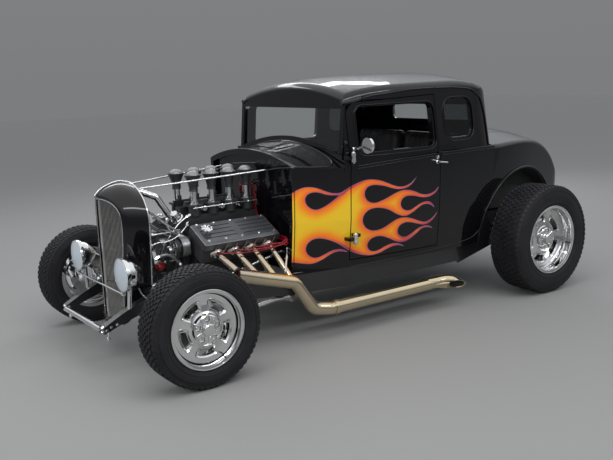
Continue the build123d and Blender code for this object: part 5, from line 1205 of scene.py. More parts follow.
# %% Beads of the body
DOOR_PANEL = [PIECES["door_left"]]
QUARTER_PANEL = [PIECES["quarter_left"], PIECES["roof"]]
COWL_PANEL = [PIECES["cowl"]]
DRIP_PANEL = [PIECES["roof"], PIECES["cowl"]]
FOOT_PANEL = [PIECES["sills"], PIECES["quarter_left"], PIECES["roof"]]
FOOT_LINE = ((-1.15, 0.393), (-1.36, 0.399), (-1.76, 0.411), (-1.995, 0.422), (-2.09, 0.428), (-2.15, 0.440),
             (-2.19, 0.460), (-2.2175, 0.4846))
BELT = ((-1.145, 0.999), (-1.5, 1.020), (-1.817, 1.0295))
BELT_BACK = ((-1.826, 1.030), (-2.1, 1.0325), (-2.33, 1.034))
DRIP_DOOR = ((-1.146, 1.366), (-1.304, 1.412), (-1.631, 1.440), (-1.817, 1.4405))
DRIP_BACK = ((-1.826, 1.440), (-1.984, 1.438), (-2.12, 1.427), (-2.171, 1.417), (-2.215, 1.392),
             (-2.246, 1.361), (-2.270, 1.30), (-2.284, 1.239), (-2.294, 1.14), (-2.300, 1.048))

ARCH_RING = [(-WHEELBASE + 0.487 * math.cos(math.radians(a)), REAR_TYRE_R + 0.487 * math.sin(math.radians(a)))
             for a in range(13, 166, 8)]


def shifted(points, rise):
    """The same line, higher by rise."""
    return [(x, z + rise) for x, z in points]


def window_ring(x0, x1, z0, z1, corner):
    """A rounded rectangle of (x, z) points."""
    ring = []
    for cx, cz, start in ((x1 + corner, z1 - corner, 90), (x1 + corner, z0 + corner, 180),
                          (x0 - corner, z0 + corner, 270), (x0 - corner, z1 - corner, 0)):
        for step in (0, 30, 60, 90):
            angle = math.radians(start + step)
            ring.append((cx + corner * math.cos(angle), cz + corner * math.sin(angle)))
    return ring


LEFT_BEADS = (
    ("belt_top", DOOR_PANEL, shifted(BELT, 0.0080), 0.0030, "door", False),
    ("belt_foot", DOOR_PANEL, shifted(BELT, -0.0080), 0.0030, "door", False),
    ("belt_back_top", QUARTER_PANEL, shifted(BELT_BACK, 0.0080), 0.0030, "chassis", False),
    ("belt_back_foot", QUARTER_PANEL, shifted(BELT_BACK, -0.0080), 0.0030, "chassis", False),
    ("drip", DRIP_PANEL, DRIP_DOOR, 0.0042, "chassis", False),
    ("drip_back", QUARTER_PANEL, DRIP_BACK, 0.0042, "chassis", False),
    ("door_reveal", DOOR_PANEL, window_ring(-1.192, -1.808, 1.062, 1.363, 0.061), 0.0030, "door", True),
    ("door_inner_reveal", DOOR_PANEL, window_ring(-1.211, -1.789, 1.081, 1.356, 0.042), 0.0024, "door", True),
    ("quarter_reveal", QUARTER_PANEL, window_ring(-1.882, -2.163, 1.099, 1.377, 0.078), 0.0030, "chassis", True),
    ("quarter_inner_reveal", QUARTER_PANEL, window_ring(-1.901, -2.144, 1.118, 1.370, 0.059), 0.0024,
     "chassis", True),
    ("arch", QUARTER_PANEL, ARCH_RING, 0.0060, "chassis", False),
    ("foot", FOOT_PANEL, FOOT_LINE, 0.0032, "chassis", False),
)
for name, panels, points, radius, place, closed in LEFT_BEADS:
    body = "door_left" if place == "door" else "chassis"
    piece = bead("bead_" + name + "_left", panels, list(points), radius, body, black_paint, closed=closed)
    twin = other_side(piece, "bead_" + name + "_right", body.replace("left", "right"))
print("beads", 2 * len(LEFT_BEADS))

# %% [markdown]
# The cowl carries two more beads. One borders its raised crown: forward along both
# shoulders, and across just ahead of the windscreen. The other rounds the lip that the
# bonnet sides once lay on, which frames the open engine bay.

# %% The cowl's beads and the header seal
SHOULDER = ((-0.822, 0.474), (-0.88, 0.500), (-0.94, 0.525), (-1.0, 0.546), (-1.04, 0.545), (-1.07, 0.52),
            (-1.083, 0.47), (-1.087, 0.38), (-1.088, 0.25), (-1.089, 0.1))
crown_line = list(SHOULDER) + [(x, -y) for x, y in reversed(SHOULDER)]
piece = bead("bead_cowl_crown", COWL_PANEL, crown_line, 0.0055, "chassis", black_paint, down=True)
for name, x in (("front", -0.8030), ("back", -0.8150)):
    arch_line = [(x, y / 100) for y in range(-46, 47, 4)]
    piece = bead("bead_cowl_lip_" + name, COWL_PANEL, arch_line, 0.0035, "chassis", black_paint, down=True)
for side in (1, -1):
    places = [(x + AXLE_X, side * y, z) for x, y, z in ((-1.118, 0.553, 1.378), (-1.16, 0.555, 1.385),
                                                        (-1.21, 0.558, 1.391), (-1.26, 0.560, 1.402))]
    tube("header_seal_" + side_name(side), places, 0.0125, "chassis", dark_trim)
print("cowl beads and header seals done")

# %% [markdown]
# ## Wheel trim
#
# Each of the five windows in a cast wheel has a bright sloping border that leads the
# eye into the opening. The border starts as an outline, is extruded inwards and pushed
# back, and gets a little thickness. Round the hub are lug seats and short ribs, and one
# valve stem stands in the rim's well.

# %% One window border
def window_border(inner):
    """The sloping border of the top window, in a plane at y = 0 round the wheel's centre."""
    low_r, low_half, high_r, high_half = 0.54 * inner, 0.25 * inner, 0.87 * inner, 0.39 * inner
    turn_low, turn_high = math.asin(low_half / low_r), math.asin(high_half / high_r)
    ring = [(low_r, turn_low * share) for share in (-0.82, -0.4, 0, 0.4, 0.82)]
    ring += [(low_r + 0.005, turn_low * 0.97), (high_r - 0.012, turn_high * 1.01), (high_r - 0.003, turn_high * 0.95)]
    ring += [(high_r, turn_high * share) for share in (0.8, 0.4, 0, -0.4, -0.8)]
    ring += [(high_r - 0.003, -turn_high * 0.95), (high_r - 0.012, -turn_high * 1.01),
             (low_r + 0.005, -turn_low * 0.97)]
    places = [Vector((r * math.sin(a), 0.0006, r * math.cos(a))) for r, a in ring]
    deselect()
    bpy.ops.mesh.primitive_plane_add(size=0.001)
    bpy.ops.object.mode_set(mode="EDIT")
    bpy.ops.mesh.select_mode(type="VERT")
    bpy.ops.mesh.merge(type="CENTER")
    bpy.ops.transform.translate(value=places[0])
    for before, place in zip(places, places[1:] + places[:1]):
        bpy.ops.mesh.extrude_vertices_move(TRANSFORM_OT_translate={"value": place - before})
    bpy.ops.mesh.select_all(action="SELECT")
    bpy.ops.mesh.remove_doubles(threshold=0.0001)
    middle = (0, 0, (low_r + high_r) / 2 - 0.003)
    for scale, push in (((0.94, 1, 0.92), (0, 0.0006, 0)), ((0.86, 1, 0.80), (0, -0.0064, -0.001))):
        bpy.ops.mesh.extrude_edges_move()
        bpy.ops.transform.resize(value=scale, center_override=middle)
        bpy.ops.transform.translate(value=push)
    bpy.ops.mesh.select_all(action="SELECT")
    bpy.ops.mesh.normals_make_consistent(inside=False)
    bpy.ops.object.mode_set(mode="OBJECT")
    piece = bpy.context.object
    face_out(piece, 1)
    wall = piece.modifiers.new("wall", "SOLIDIFY")
    wall.thickness = 0.0012
    wall.offset = -1
    apply_all(piece)
    return piece


# %% The trim of all four wheels
# End, axle, tyre radius, rim radius, rim plane, dish, turn of the windows, turn of the valve stem
WHEELS = (("front", 0.0, FRONT_TYRE_R, 0.209, 0.860, 0.034, 36, 150),
          ("rear", -WHEELBASE, REAR_TYRE_R, 0.235, 0.855, 0.078, 18, 105))
for end, x, radius, rim_r, face_y, dish, turn, stem_turn in WHEELS:
    hub = Matrix.Translation((x + AXLE_X, face_y - dish, radius))
    border = window_border(rim_r - 0.032)
    rib = block((0, 0.030, 0.057), (0.007, 0.010, 0.036), bevel=0.003, segments=2)
    seat_ring = lathe([(0.027, 0.0185), (0.0315, 0.0165), (0.0315, 0.0140), (0.0275, 0.0118)], 24, axis="Y")
    seat_ring.location = (0, 0, 0.057)
    pick(seat_ring)
    bpy.ops.object.transform_apply(location=True, rotation=False, scale=False)
    pieces = []
    for index in range(5):
        window_turn = Matrix.Rotation(math.radians(turn + 72 * index), 4, "Y")
        lug_turn = Matrix.Rotation(math.radians(turn + 36 + 72 * index), 4, "Y")
        pieces += [copy_at(border, hub @ window_turn), copy_at(rib, hub @ window_turn),
                   copy_at(seat_ring, hub @ lug_turn)]
    for pattern in (border, rib, seat_ring):
        bpy.data.objects.remove(pattern)
    for ring_r, ring_y, thick in ((rim_r - 0.0035, -0.0012, 0.0032), (rim_r - 0.0135, -0.012, 0.0016)):
        bpy.ops.mesh.primitive_torus_add(major_radius=ring_r, minor_radius=thick, major_segments=96,
                                         minor_segments=8, rotation=(math.radians(90), 0, 0),
                                         location=(x + AXLE_X, face_y + ring_y, radius))
        ring = bpy.context.object
        deselect()
        pieces.append(ring)
    trim = settle(join(pieces), "wheel_trim_%s_left" % end, "wheel_%s_left" % end, wheel_alloy, 40)
    on_both_sides(trim, "wheel_%s_left" % end)
    stem = lathe([(0, 0), (0, 0.0055), (0.010, 0.0050), (0.016, 0.0032), (0.030, 0.0030), (0.031, 0.0042),
                  (0.040, 0.0042), (0.042, 0.0030), (0.042, 0)], 12)
    a = math.radians(stem_turn)
    stem_r = rim_r - 0.030
    spot = Matrix.Translation((x + AXLE_X - stem_r * math.sin(a), face_y - 0.046, radius + stem_r * math.cos(a)))
    lean = Vector((0.25 * math.sin(a), 1, -0.25 * math.cos(a))).to_track_quat("Z", "Y").to_matrix().to_4x4()
    stem = scatter("valve_stem_%s_left" % end, stem, [spot @ lean], "wheel_%s_left" % end, dark_trim)
    on_both_sides(stem, "wheel_%s_left" % end)
    print(end, "wheel trim", len(trim.data.polygons))

# %% [markdown]
# ## Fittings on the doors
#
# The doors hang on bright barrel hinges with short leaves, and each handle has a round
# lock button over it. A barrel turns about the hinge's own axis, so it may stay with the
# body while its leaf moves with the door.

# %% Hinges and lock buttons
HINGES = (0.578, 1.064)
barrel = lathe([(-0.036, 0), (-0.036, 0.006), (-0.031, 0.0105), (-0.027, 0.0145), (-0.0095, 0.0145), (-0.009, 0.0135),
                (0.009, 0.0135), (0.0095, 0.0145), (0.027, 0.0145), (0.031, 0.0105), (0.036, 0.006), (0.036, 0)], 24)
barrels = scatter("hinge_barrels_left", barrel, [Matrix.Translation(from_axle(-1.1445, 0.625, z)) for z in HINGES],
                  "chassis", chrome)
on_both_sides(barrels)
button = lathe([(-0.004, 0), (-0.004, 0.0125), (0.0015, 0.0125), (0.0025, 0.0115), (0.0035, 0.0085), (0.0055, 0.0080),
                (0.0065, 0.0065), (0.0070, 0)], 24)
button_place = touch(DOOR_PANEL[0], from_axle(-1.795, 1.2, 1.012), (0, -1, 0))
button = scatter("lock_button_left", button, [aimed(button_place, (0, 1, 0))], "door_left", chrome)
on_both_sides(button, "door_left")
print("door fittings done")

# %% [markdown]
# ## Front end
#
# The spreader tube is held in the frame horns by bolts, the lamps' wires run down in
# braided sleeves, and a bright bead closes the rear edge of the grille shell.

# %% Bolts, shackles and the shell's bead
bolt = lathe([(-0.004, 0), (-0.004, 0.0105), (0.0012, 0.0105), (0.0014, 0.0075), (0.0065, 0.0072), (0.0080, 0.0055),
              (0.0082, 0)], 6)
bolt_spots = [aimed(from_axle(x, 0.315, z), (0, 1, 0)) for x, z in ((0.322, 0.250), (0.296, 0.262), (0.262, 0.270))]
bolt_spots += [aimed(from_axle(0.322, 0.262, z), (0, -1, 0)) for z in (0.256,)]
bolt_spots += [aimed(from_axle(0.337, 0.289, z), (1, 0, 0)) for z in (0.238, 0.262)]
bolts = scatter("horn_bolts_left", bolt, bolt_spots, "chassis", chrome, angle=30)
on_both_sides(bolts)
shackle = lathe([(0, 0), (0, 0.007), (0.030, 0.007), (0.032, 0.011), (0.044, 0.011), (0.046, 0.007), (0.052, 0.005),
                 (0.052, 0)], 16)
stud_spot = aimed(from_axle(0.300, 0.289, 0.232), (0.15, 0, -1))
studs = scatter("horn_studs_left", shackle, [stud_spot], "chassis", chrome)
on_both_sides(studs)
shell_bead = bead("shell_bead_left", [PIECES["grille_shell"]],
                  [(-0.003, 0.26), (-0.003, 0.5), (-0.003, 0.75), (-0.003, 0.91)], 0.0042, "chassis", chrome, sink=0.3)
on_both_sides(shell_bead)
crown = [(-0.003, y / 1000) for y in (250, 238, 220, 190, 150, 100, 50)]
crown += [(x, -y) for x, y in reversed(crown)]
bead("shell_crown_bead", [PIECES["grille_shell"]], crown, 0.0042, "chassis", chrome, sink=0.3, down=True)
print("front end bolts and beads done")


# %% The lamps' braided wires
def wire_length(curve_data):
    """The length of a curve's own line."""
    bare = curve_data.copy()
    bare.bevel_depth = 0
    holder = bpy.data.objects.new("measure", bare)
    bpy.context.scene.collection.objects.link(holder)
    bpy.context.view_layer.update()
    line = bpy.data.meshes.new_from_object(holder)
    points = [v.co for v in line.vertices]
    bpy.data.objects.remove(holder)
    return sum((b - a).length for a, b in zip(points, points[1:]))


def free_wire(name, places, radius, material, body="chassis"):
    """A wire that leaves one fitting and enters another, as one smooth spline."""
    data = bpy.data.curves.new(name, "CURVE")
    data.dimensions = "3D"
    data.bevel_depth = radius
    data.bevel_resolution = 3
    data.use_fill_caps = True
    spline = data.splines.new("NURBS")
    spline.points.add(len(places) - 1)
    for point, place in zip(spline.points, places):
        point.co = (*place, 1)
    spline.order_u = 3
    spline.use_endpoint_u = True
    spline.resolution_u = 8
    piece = bpy.data.objects.new(name, data)
    bpy.context.scene.collection.objects.link(piece)
    data.materials.append(material)
    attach(piece, body)
    wire_length(data)
    return piece


braid = finish("braid", (0.34, 0.34, 0.35), (0.14, 0.14, 0.15), (0.35, 0.5), metallic=0.7, blotch=160, grain=900,
               bump=0.6, depth=0.0008)
LAMP_WIRE = ((0.128, 0.331, 0.452), (0.122, 0.333, 0.425), (0.100, 0.350, 0.392),
             (0.060, 0.352, 0.362), (0.030, 0.335, 0.345), (0.010, 0.315, 0.330))
for side in (1, -1):
    route = [from_axle(x, side * y, z) for x, y, z in LAMP_WIRE]
    free_wire("lamp_wire_" + side_name(side), route, 0.0045, braid)
print("lamp wires done")

# %% [markdown]
# ## Engine fittings
#
# The bolts, the breather, the bright rings under the ram tubes and above all the red
# plug leads give the engine its scale. Each kind is modelled once and copied.

# %% The banks' own frame
def bank(x, out, up, side=1):
    """A point from a rocker cover's middle: along it, outboard on it, above it."""
    tilt = math.radians(27)
    shift = 0 if side > 0 else 0.025
    y = 0.262 + out * math.cos(tilt) + up * math.sin(tilt)
    z = 0.640 - out * math.sin(tilt) + up * math.cos(tilt)
    return from_axle(-0.5225 + x + shift, side * y, z)


BANK_UP = {1: Vector((0, math.sin(math.radians(27)), math.cos(math.radians(27)))),
           -1: Vector((0, -math.sin(math.radians(27)), math.cos(math.radians(27))))}
for side in (1, -1):
    head = lathe([(-0.003, 0), (-0.003, 0.0085), (0.0008, 0.0085), (0.001, 0.0060), (0.0055, 0.0056), (0.0066, 0.0040),
                  (0.0066, 0)], 6)
    spots = [aimed(bank(x, out, 0.052, side), BANK_UP[side])
             for x in (-0.22, -0.11, 0, 0.11, 0.22) for out in (-0.079, 0.079)]
    scatter("cover_bolts_" + side_name(side), head, spots, "chassis", chrome, angle=30)
    neck = lathe([(0, 0), (0, 0.021), (0.012, 0.021), (0.013, 0.014), (0.022, 0.014), (0.023, 0.023), (0.026, 0.025),
                  (0.035, 0.024), (0.038, 0.020), (0.039, 0)], 28)
    lobe = lathe([(0.022, 0), (0.022, 0.0075), (0.026, 0.0092), (0.034, 0.0088), (0.037, 0.0060), (0.0375, 0)], 12)
    lobe_out = Matrix.Translation((0.0265, 0, 0))
    lobes = [copy_at(lobe, Matrix.Rotation(math.tau * k / 8, 4, "Z") @ lobe_out) for k in range(8)]
    bpy.data.objects.remove(lobe)
    cap = join([neck] + lobes)
    cap_spot = aimed(bank(0.1975, 0, 0.050, side), BANK_UP[side])
    scatter("oil_filler_" + side_name(side), cap, [cap_spot], "chassis", chrome)
    edges = []
    for out in (-0.0995, 0.0995):
        rod_edge = block(bank(0, out, 0.038, side), (0.494, 0.0030, 0.0030), (-27 * side, 0, 0), 0.0010)
        edges.append(rod_edge)
    for along in (-0.2475, 0.2475):
        edges.append(block(bank(along, 0, 0.038, side), (0.0030, 0.198, 0.0030), (-27 * side, 0, 0), 0.0010))
    settle(join(edges), "cover_edge_" + side_name(side), "chassis", bright_steel)
print("cover fittings done")

# %% Rings, unions and horn bands on the stacks
STACKS = [(x + (0 if side > 0 else 0.025), side * 0.084) for side in (1, -1) for x in (-0.365, -0.485, -0.605, -0.725)]
foot_ring = lathe([(0, 0.0195), (0, 0.0270), (0.005, 0.0275), (0.006, 0.0245), (0.013, 0.0240),
                   (0.015, 0.0215), (0.015, 0.0195)], 28)
foot_spots = [Matrix.Translation(from_axle(x, y, 0.822)) for x, y in STACKS]
scatter("stack_foot_rings", foot_ring, foot_spots, "chassis", chrome)
horn_band = lathe([(0, 0.0200), (-0.001, 0.0258), (0.001, 0.0268), (0.007, 0.0268), (0.009, 0.0256),
                   (0.010, 0.0200)], 28)
band_spots = [Matrix.Translation(from_axle(x, y, 0.903)) for x, y in STACKS]
scatter("stack_bands", horn_band, band_spots, "chassis", satin_black)
union = lathe([(0, 0), (0, 0.0135), (0.008, 0.0145), (0.010, 0.0105), (0.020, 0.0100), (0.022, 0.0155), (0.034, 0.0155),
               (0.036, 0.0100), (0.044, 0.0080), (0.044, 0)], 6)
union_spots = []
for side in (1, -1):
    shift = 0 if side > 0 else 0.025
    for x in (-0.425, -0.545, -0.665):
        union_spots.append(aimed(from_axle(x + shift, side * 0.072, 0.790), (0, side, 0.1)))
scatter("throttle_unions", union, union_spots, "chassis", chrome, angle=30)
flange = lathe([(0, 0.0200), (0, 0.0315), (0.008, 0.0315), (0.010, 0.0290), (0.014, 0.0235), (0.018, 0.0200)], 20)
flange_spots = [aimed(from_axle(x + 0.022, 0.331, 0.568), (0, 0.94, -0.33)) for x in (-0.385, -0.500, -0.615, -0.730)]
left_flanges = scatter("port_flanges_left", flange, flange_spots, "chassis", bright_steel)
on_both_sides(left_flanges)
print("stack and port fittings done")

# %% [markdown]
# The plug leads are free silicone cords: each leaves a tower of the distributor, loops
# down behind the rocker cover and runs forward under it to its own plug, where a pale
# heat sleeve covers the last part. Each is one spline, so it bends as a lead does.

# %% Plug leads and their sleeves
lead_red = finish("lead_red", (0.30, 0.006, 0.016), (0.20, 0.004, 0.010), (0.3, 0.45), grain=500, bump=0.1, coat=0.2)
sleeve_pale = finish("sleeve_pale", (0.62, 0.58, 0.52), (0.50, 0.47, 0.43), (0.45, 0.6), blotch=20, grain=700, bump=0.4)
LEAD_R = 0.0034
DISTRIBUTOR = (-0.762, 0.025, 0.846)  # its axis, its ring of towers and their tops
LOOP_ANGLES = (157.5, 112.5, 67.5, 22.5)
OCTAGON = math.cos(math.radians(22.5))
# Plug from the front, top of the loop, where it falls, swing round the end of the cover, and lane
LEADS = ((-0.330, 0.874, 0.075, 0.001, 0.002), (-0.445, 0.866, 0.067, 0.022, 0.019),
         (-0.560, 0.864, 0.059, 0.009, 0.006), (-0.675, 0.864, 0.051, 0.029, 0.026))


def lead_route(side, index):
    """Up from its tower, over in a loop, down behind the rocker cover and forward to its plug."""
    plug_x, top, fall, swing, lane_out = LEADS[index]
    axis_x, ring, tower_z = DISTRIBUTOR
    tower = math.radians(22.5 + 45 * index)
    start_x, start_y = axis_x + ring * math.cos(tower), ring * math.sin(tower) + 0.002
    half, down = (fall - start_y) / 2, 0.008 * index
    line = [(start_x, start_y, tower_z), (start_x, start_y, top - 0.007)]
    for angle in LOOP_ANGLES:
        share = (1 + math.cos(math.radians(angle)) / OCTAGON) / 2
        rise = max(half, 0.017) * math.sin(math.radians(angle)) / OCTAGON
        line.append((start_x + (-0.789 - start_x) * share, start_y + 2 * half * share, top + rise))
    line += [(-0.790, fall, top - 0.008), (-0.791, fall, 0.825 - down), (-0.795, fall + 0.001, 0.735 - down),
             (-0.806, fall + 0.030, 0.655 - down), (-0.815, 0.180, 0.618 - down), (-0.816, 0.290, 0.600 - down),
             (-0.814, 0.365, 0.600 - down)]
    out, lane = (0.414 if index % 2 else 0.404), 0.556 + 0.013 * index
    shift = 0 if side > 0 else 0.025
    turn_x, turn_z = (-0.742, lane - 0.008) if index == 3 else (-0.715, lane)
    line += [(-0.800, out + 0.004, 0.602 - down), (-0.768, 0.404 + swing, 0.582 - 0.7 * down),
             (turn_x, 0.404 + lane_out, turn_z)]
    if index < 2:
        line.append(((plug_x - 0.715) / 2, out + 0.016, lane + 0.004))
    line += [(plug_x - 0.045 + shift, out + 0.006, 0.574 + 0.003 * index),
             (plug_x - 0.005 + shift, out - 0.004, 0.588), (plug_x + shift, 0.374, 0.584)]
    return [from_axle(x, side * y, z) for x, y, z in line]


for side in (1, -1):
    sleeves = []
    for index, (plug_x, *_) in enumerate(LEADS):
        plug_x += 0 if side > 0 else 0.025
        route = lead_route(side, index)
        free_wire("plug_lead_%s_%d" % (side_name(side), index + 1), route, LEAD_R, lead_red)
        sleeves.append(aimed(from_axle(plug_x, side * 0.384, 0.588), (0, -side * 0.93, -0.36)))
    sleeve = lathe([(0, 0), (0, 0.0072), (0.004, 0.0082), (0.048, 0.0090), (0.052, 0.0110), (0.060, 0.0110),
                    (0.062, 0.008), (0.062, 0)], 16)
    scatter("plug_sleeves_" + side_name(side), sleeve, sleeves, "chassis", sleeve_pale)
print("plug leads done")

# %% Strut and the red regulator
strut_foot, strut_head = from_axle(-0.700, 0.520, 0.430), from_axle(-0.798, 0.405, 0.540)
strut = lathe([(0, 0), (0, 0.010), (0.012, 0.010), (0.014, 0.0065), (0.10, 0.0065), (0.102, 0.0090), (0.118, 0.0090),
               (0.120, 0.0065), (0.178, 0.0065), (0.180, 0.009), (0.187, 0.009), (0.187, 0)], 16)
piece = scatter("pipe_strut_left", strut, [aimed(strut_foot, strut_head - strut_foot)], "chassis", chrome)
on_both_sides(piece)
regulator = lathe([(0, 0), (0, 0.024), (0.010, 0.027), (0.034, 0.027), (0.038, 0.022), (0.046, 0.020), (0.048, 0.010),
                   (0.060, 0.010), (0.060, 0)], 28)
scatter("fuel_regulator", regulator, [aimed(from_axle(-0.118, 0.120, 0.498), (1, 0.35, 0))], "chassis", cap_red)

# %% [markdown]
# ## The busy front of the engine
#
# Between the shell and the engine the eye meets no large form, only many small bright
# ones: braided hoses with unions, a fuel line, a throttle rod with ball joints. They are
# few enough to place one by one, as a mechanic would plumb them.

# %% Hoses, lines and the throttle rod
BAY_LINES = (
    ("oil_hose", 0.0085, braid, (
        (-0.030, 0.205, 0.560), (-0.085, 0.215, 0.590), (-0.150, 0.205, 0.560), (-0.205, 0.185, 0.500))),
    ("heater_hose", 0.0110, belt_rubber, (
        (-0.020, 0.110, 0.430), (-0.070, 0.120, 0.460), (-0.120, 0.110, 0.530), (-0.200, 0.070, 0.560))),
    ("bypass_hose", 0.0075, braid, (
        (-0.190, 0.075, 0.760), (-0.150, 0.130, 0.735), (-0.160, 0.170, 0.690), (-0.225, 0.180, 0.665))),
    ("fuel_line_low", 0.0040, chrome, (
        (-0.100, 0.120, 0.525), (-0.110, 0.135, 0.590), (-0.170, 0.150, 0.680), (-0.250, 0.120, 0.745),
        (-0.320, 0.115, 0.770))),
    ("cooler_line", 0.0048, chrome, (
        (-0.015, 0.185, 0.700), (-0.080, 0.180, 0.698), (-0.160, 0.165, 0.694), (-0.240, 0.140, 0.690))),
    ("vacuum_line", 0.0036, chrome, (
        (-0.020, 0.150, 0.620), (-0.070, 0.160, 0.650), (-0.130, 0.175, 0.640), (-0.210, 0.200, 0.680),
        (-0.290, 0.150, 0.735))),
)
for name, radius, material, route in BAY_LINES:
    tube(name, [from_axle(*place) for place in route], radius, "chassis", material, resolution=3)
nut = lathe([(0, 0), (0, 0.0085), (0.003, 0.0100), (0.012, 0.0100), (0.014, 0.0125), (0.026, 0.0125),
             (0.028, 0.0085), (0.034, 0.0080), (0.034, 0)], 6)
nut_spots = []
for name, radius, material, route in BAY_LINES:
    first, second = from_axle(*route[0]), from_axle(*route[1])
    last, fore = from_axle(*route[-1]), from_axle(*route[-2])
    nut_spots += [aimed(first, second - first), aimed(last, fore - last)]
scatter("hose_unions", nut, nut_spots, "chassis", chrome, angle=30)
clamp = lathe([(-0.004, 0.0118), (-0.004, 0.0132), (0.004, 0.0132), (0.004, 0.0118), (-0.004, 0.0118)], 20)
clamp_spots = [aimed(from_axle(-0.045, 0.115, 0.445), (-0.050, 0.010, 0.030)),
               aimed(from_axle(-0.160, 0.092, 0.545), (-0.08, -0.04, 0.03))]
scatter("hose_clamps", clamp, clamp_spots, "chassis", chrome)
for side in (1, -1):
    shift = 0 if side > 0 else 0.025
    rod_line = [from_axle(x + shift, side * 0.128, 0.806) for x in (-0.335, -0.50, -0.65, -0.770)]
    tube("throttle_rod_" + side_name(side), rod_line, 0.0038, "chassis", chrome)
    ball = lathe([(-0.010, 0), (-0.010, 0.0045), (-0.006, 0.0070), (0, 0.0088), (0.006, 0.0070),
                  (0.010, 0.0045), (0.022, 0.0040), (0.022, 0)], 14)
    spots = [aimed(from_axle(x + shift, side * 0.128, 0.806), (0, -side * 0.9, 0.2))
             for x in (-0.352, -0.472, -0.592, -0.712)]
    scatter("throttle_balls_" + side_name(side), ball, spots, "chassis", chrome)
thermostat = lathe([(0, 0), (0, 0.036), (0.010, 0.038), (0.014, 0.030), (0.040, 0.026), (0.052, 0.020), (0.056, 0)], 24)
thermostat_spot = aimed(from_axle(-0.262, 0.060, 0.745), (0.6, 0.3, 0.8))
scatter("thermostat_cover", thermostat, [thermostat_spot], "chassis", chrome)
alternator = lathe([(0, 0), (0, 0.060), (0.006, 0.062), (0.010, 0.058), (0.012, 0.030), (0.026, 0.026),
                    (0.030, 0.012), (0.032, 0)], 32)
alternator_spot = aimed(from_axle(-0.165, 0.150, 0.585), (1, 0.1, 0))
scatter("alternator_case", alternator, [alternator_spot], "chassis", bright_steel)
for side in (1, -1):
    rods = []
    for along in (-0.215, -0.150, -0.085, -0.020, 0.045, 0.110, 0.175):
        rods.append(tube("bank_rod", [bank(along, 0.104, 0.026, side), bank(along + 0.012, 0.112, -0.006, side),
                                      bank(along + 0.030, 0.108, -0.040, side)], 0.0042, "chassis", heat_gold))
    settle(join(rods), "bank_rods_" + side_name(side), "chassis", heat_gold, angle=50)
print("bay lines", len(BAY_LINES))

# %% [markdown]
# ## Slash-cut pipe ends
#
# Each side pipe lifts a little, turns down and out, and ends in a slanting cut that shows
# its dark bore. The pipe's last straight run is taken off its skin, and a bent tube takes
# its place. A second tube is carved out of it for the bore, and a block for the cut.

# %% The bent ends
def carve(piece, cutter):
    """Takes the cutter's volume out of a piece."""
    pick(piece)
    cut = piece.modifiers.new("cut", "BOOLEAN")
    cut.operation = "DIFFERENCE"
    cut.object = cutter
    apply_all(piece)
    bpy.data.objects.remove(cutter)
    return piece


pipes = PIECES["exhausts"]
pick(pipes)
bpy.ops.object.mode_set(mode="EDIT")
bpy.ops.mesh.select_all(action="DESELECT")
bpy.ops.object.mode_set(mode="OBJECT")
for vertex in pipes.data.vertices:
    vertex.select = vertex.co.x - AXLE_X < -1.90
bpy.ops.object.mode_set(mode="EDIT")
bpy.ops.mesh.select_mode(type="VERT")
bpy.ops.mesh.delete(type="VERT")
bpy.ops.mesh.select_all(action="DESELECT")
bpy.ops.mesh.select_non_manifold()
bpy.ops.mesh.fill()
bpy.ops.mesh.select_all(action="DESELECT")
bpy.ops.object.mode_set(mode="OBJECT")
TIP_PATH = ((-1.740, 0.602, 0.1855), (-1.800, 0.6085, 0.1840), (-1.865, 0.6180, 0.1880), (-1.920, 0.6310, 0.1830),
            (-1.960, 0.6500, 0.1640), (-1.990, 0.6720, 0.1390), (-2.050, 0.7200, 0.0820))
CUT_PLACE, CUT_WAY = (-1.968, 0.659, 0.157), (0.22, 0.74, -0.63)
TIP_R, TIP_BORE_R = 0.0412, 0.0375


def tip_line(side, first=0):
    """The pipe end's bend on one side, from one of its points on."""
    return [from_axle(x, side * y, z) for x, y, z in TIP_PATH[first:]]


def cut_block(side, back):
    """A block whose foot lies on the slanting cut, or a little in front of it."""
    way = Vector((CUT_WAY[0], side * CUT_WAY[1], CUT_WAY[2])).normalized()
    place = from_axle(CUT_PLACE[0], side * CUT_PLACE[1], CUT_PLACE[2])
    cube = block((0, 0, 0.15), (0.5, 0.5, 0.3))
    cutter = copy_at(cube, aimed(place - way * back, way))
    bpy.data.objects.remove(cube)
    return cutter


for side in (1, -1):
    tip = tube("pipe_end_" + side_name(side), tip_line(side), TIP_R, "chassis", heat_gold,
               resolution=8)
    bore = tube("bore", tip_line(side, 2), TIP_BORE_R, "chassis", dark_trim)
    carve(carve(tip, bore), cut_block(side, 0))
    settle(tip, tip.name, "chassis", heat_gold, 50)
    liner = tube("pipe_bore_" + side_name(side), tip_line(side, 2), TIP_BORE_R + 0.0005, "chassis", dark_trim,
                 resolution=8)
    bore = tube("bore", tip_line(side, 3), TIP_BORE_R - 0.0015, "chassis", dark_trim)
    carve(carve(liner, bore), cut_block(side, 0.0030))
    settle(liner, liner.name, "chassis", dark_trim, 50)
print("pipe ends done")

# %% [markdown]
# Inside each rear arch a flat apron closes the view between the body and the axle.

# %% Aprons
apron = join([block(from_axle(-2.221, 0.553, 0.429), (0.36, 0.008, 0.26), (0, 13.2, 0), 0.002),
              block(from_axle(-2.010, 0.552, 0.408), (0.24, 0.008, 0.26), (0, 0, 0), 0.002)])
settle(apron, "arch_apron_left", "chassis", frame_black)
on_both_sides(apron)

# %% [markdown]
# ## Seats
#
# The bench has two cushions and two backs in black hide, sewn in broad channels. Foam
# under stretched hide swells between its seams. Each pad starts a little small, is
# remeshed evenly, blown up slightly as cloth with pressure inside, and then gets its
# sewn channels. A cap on how far a point may move keeps the size of the real pad.

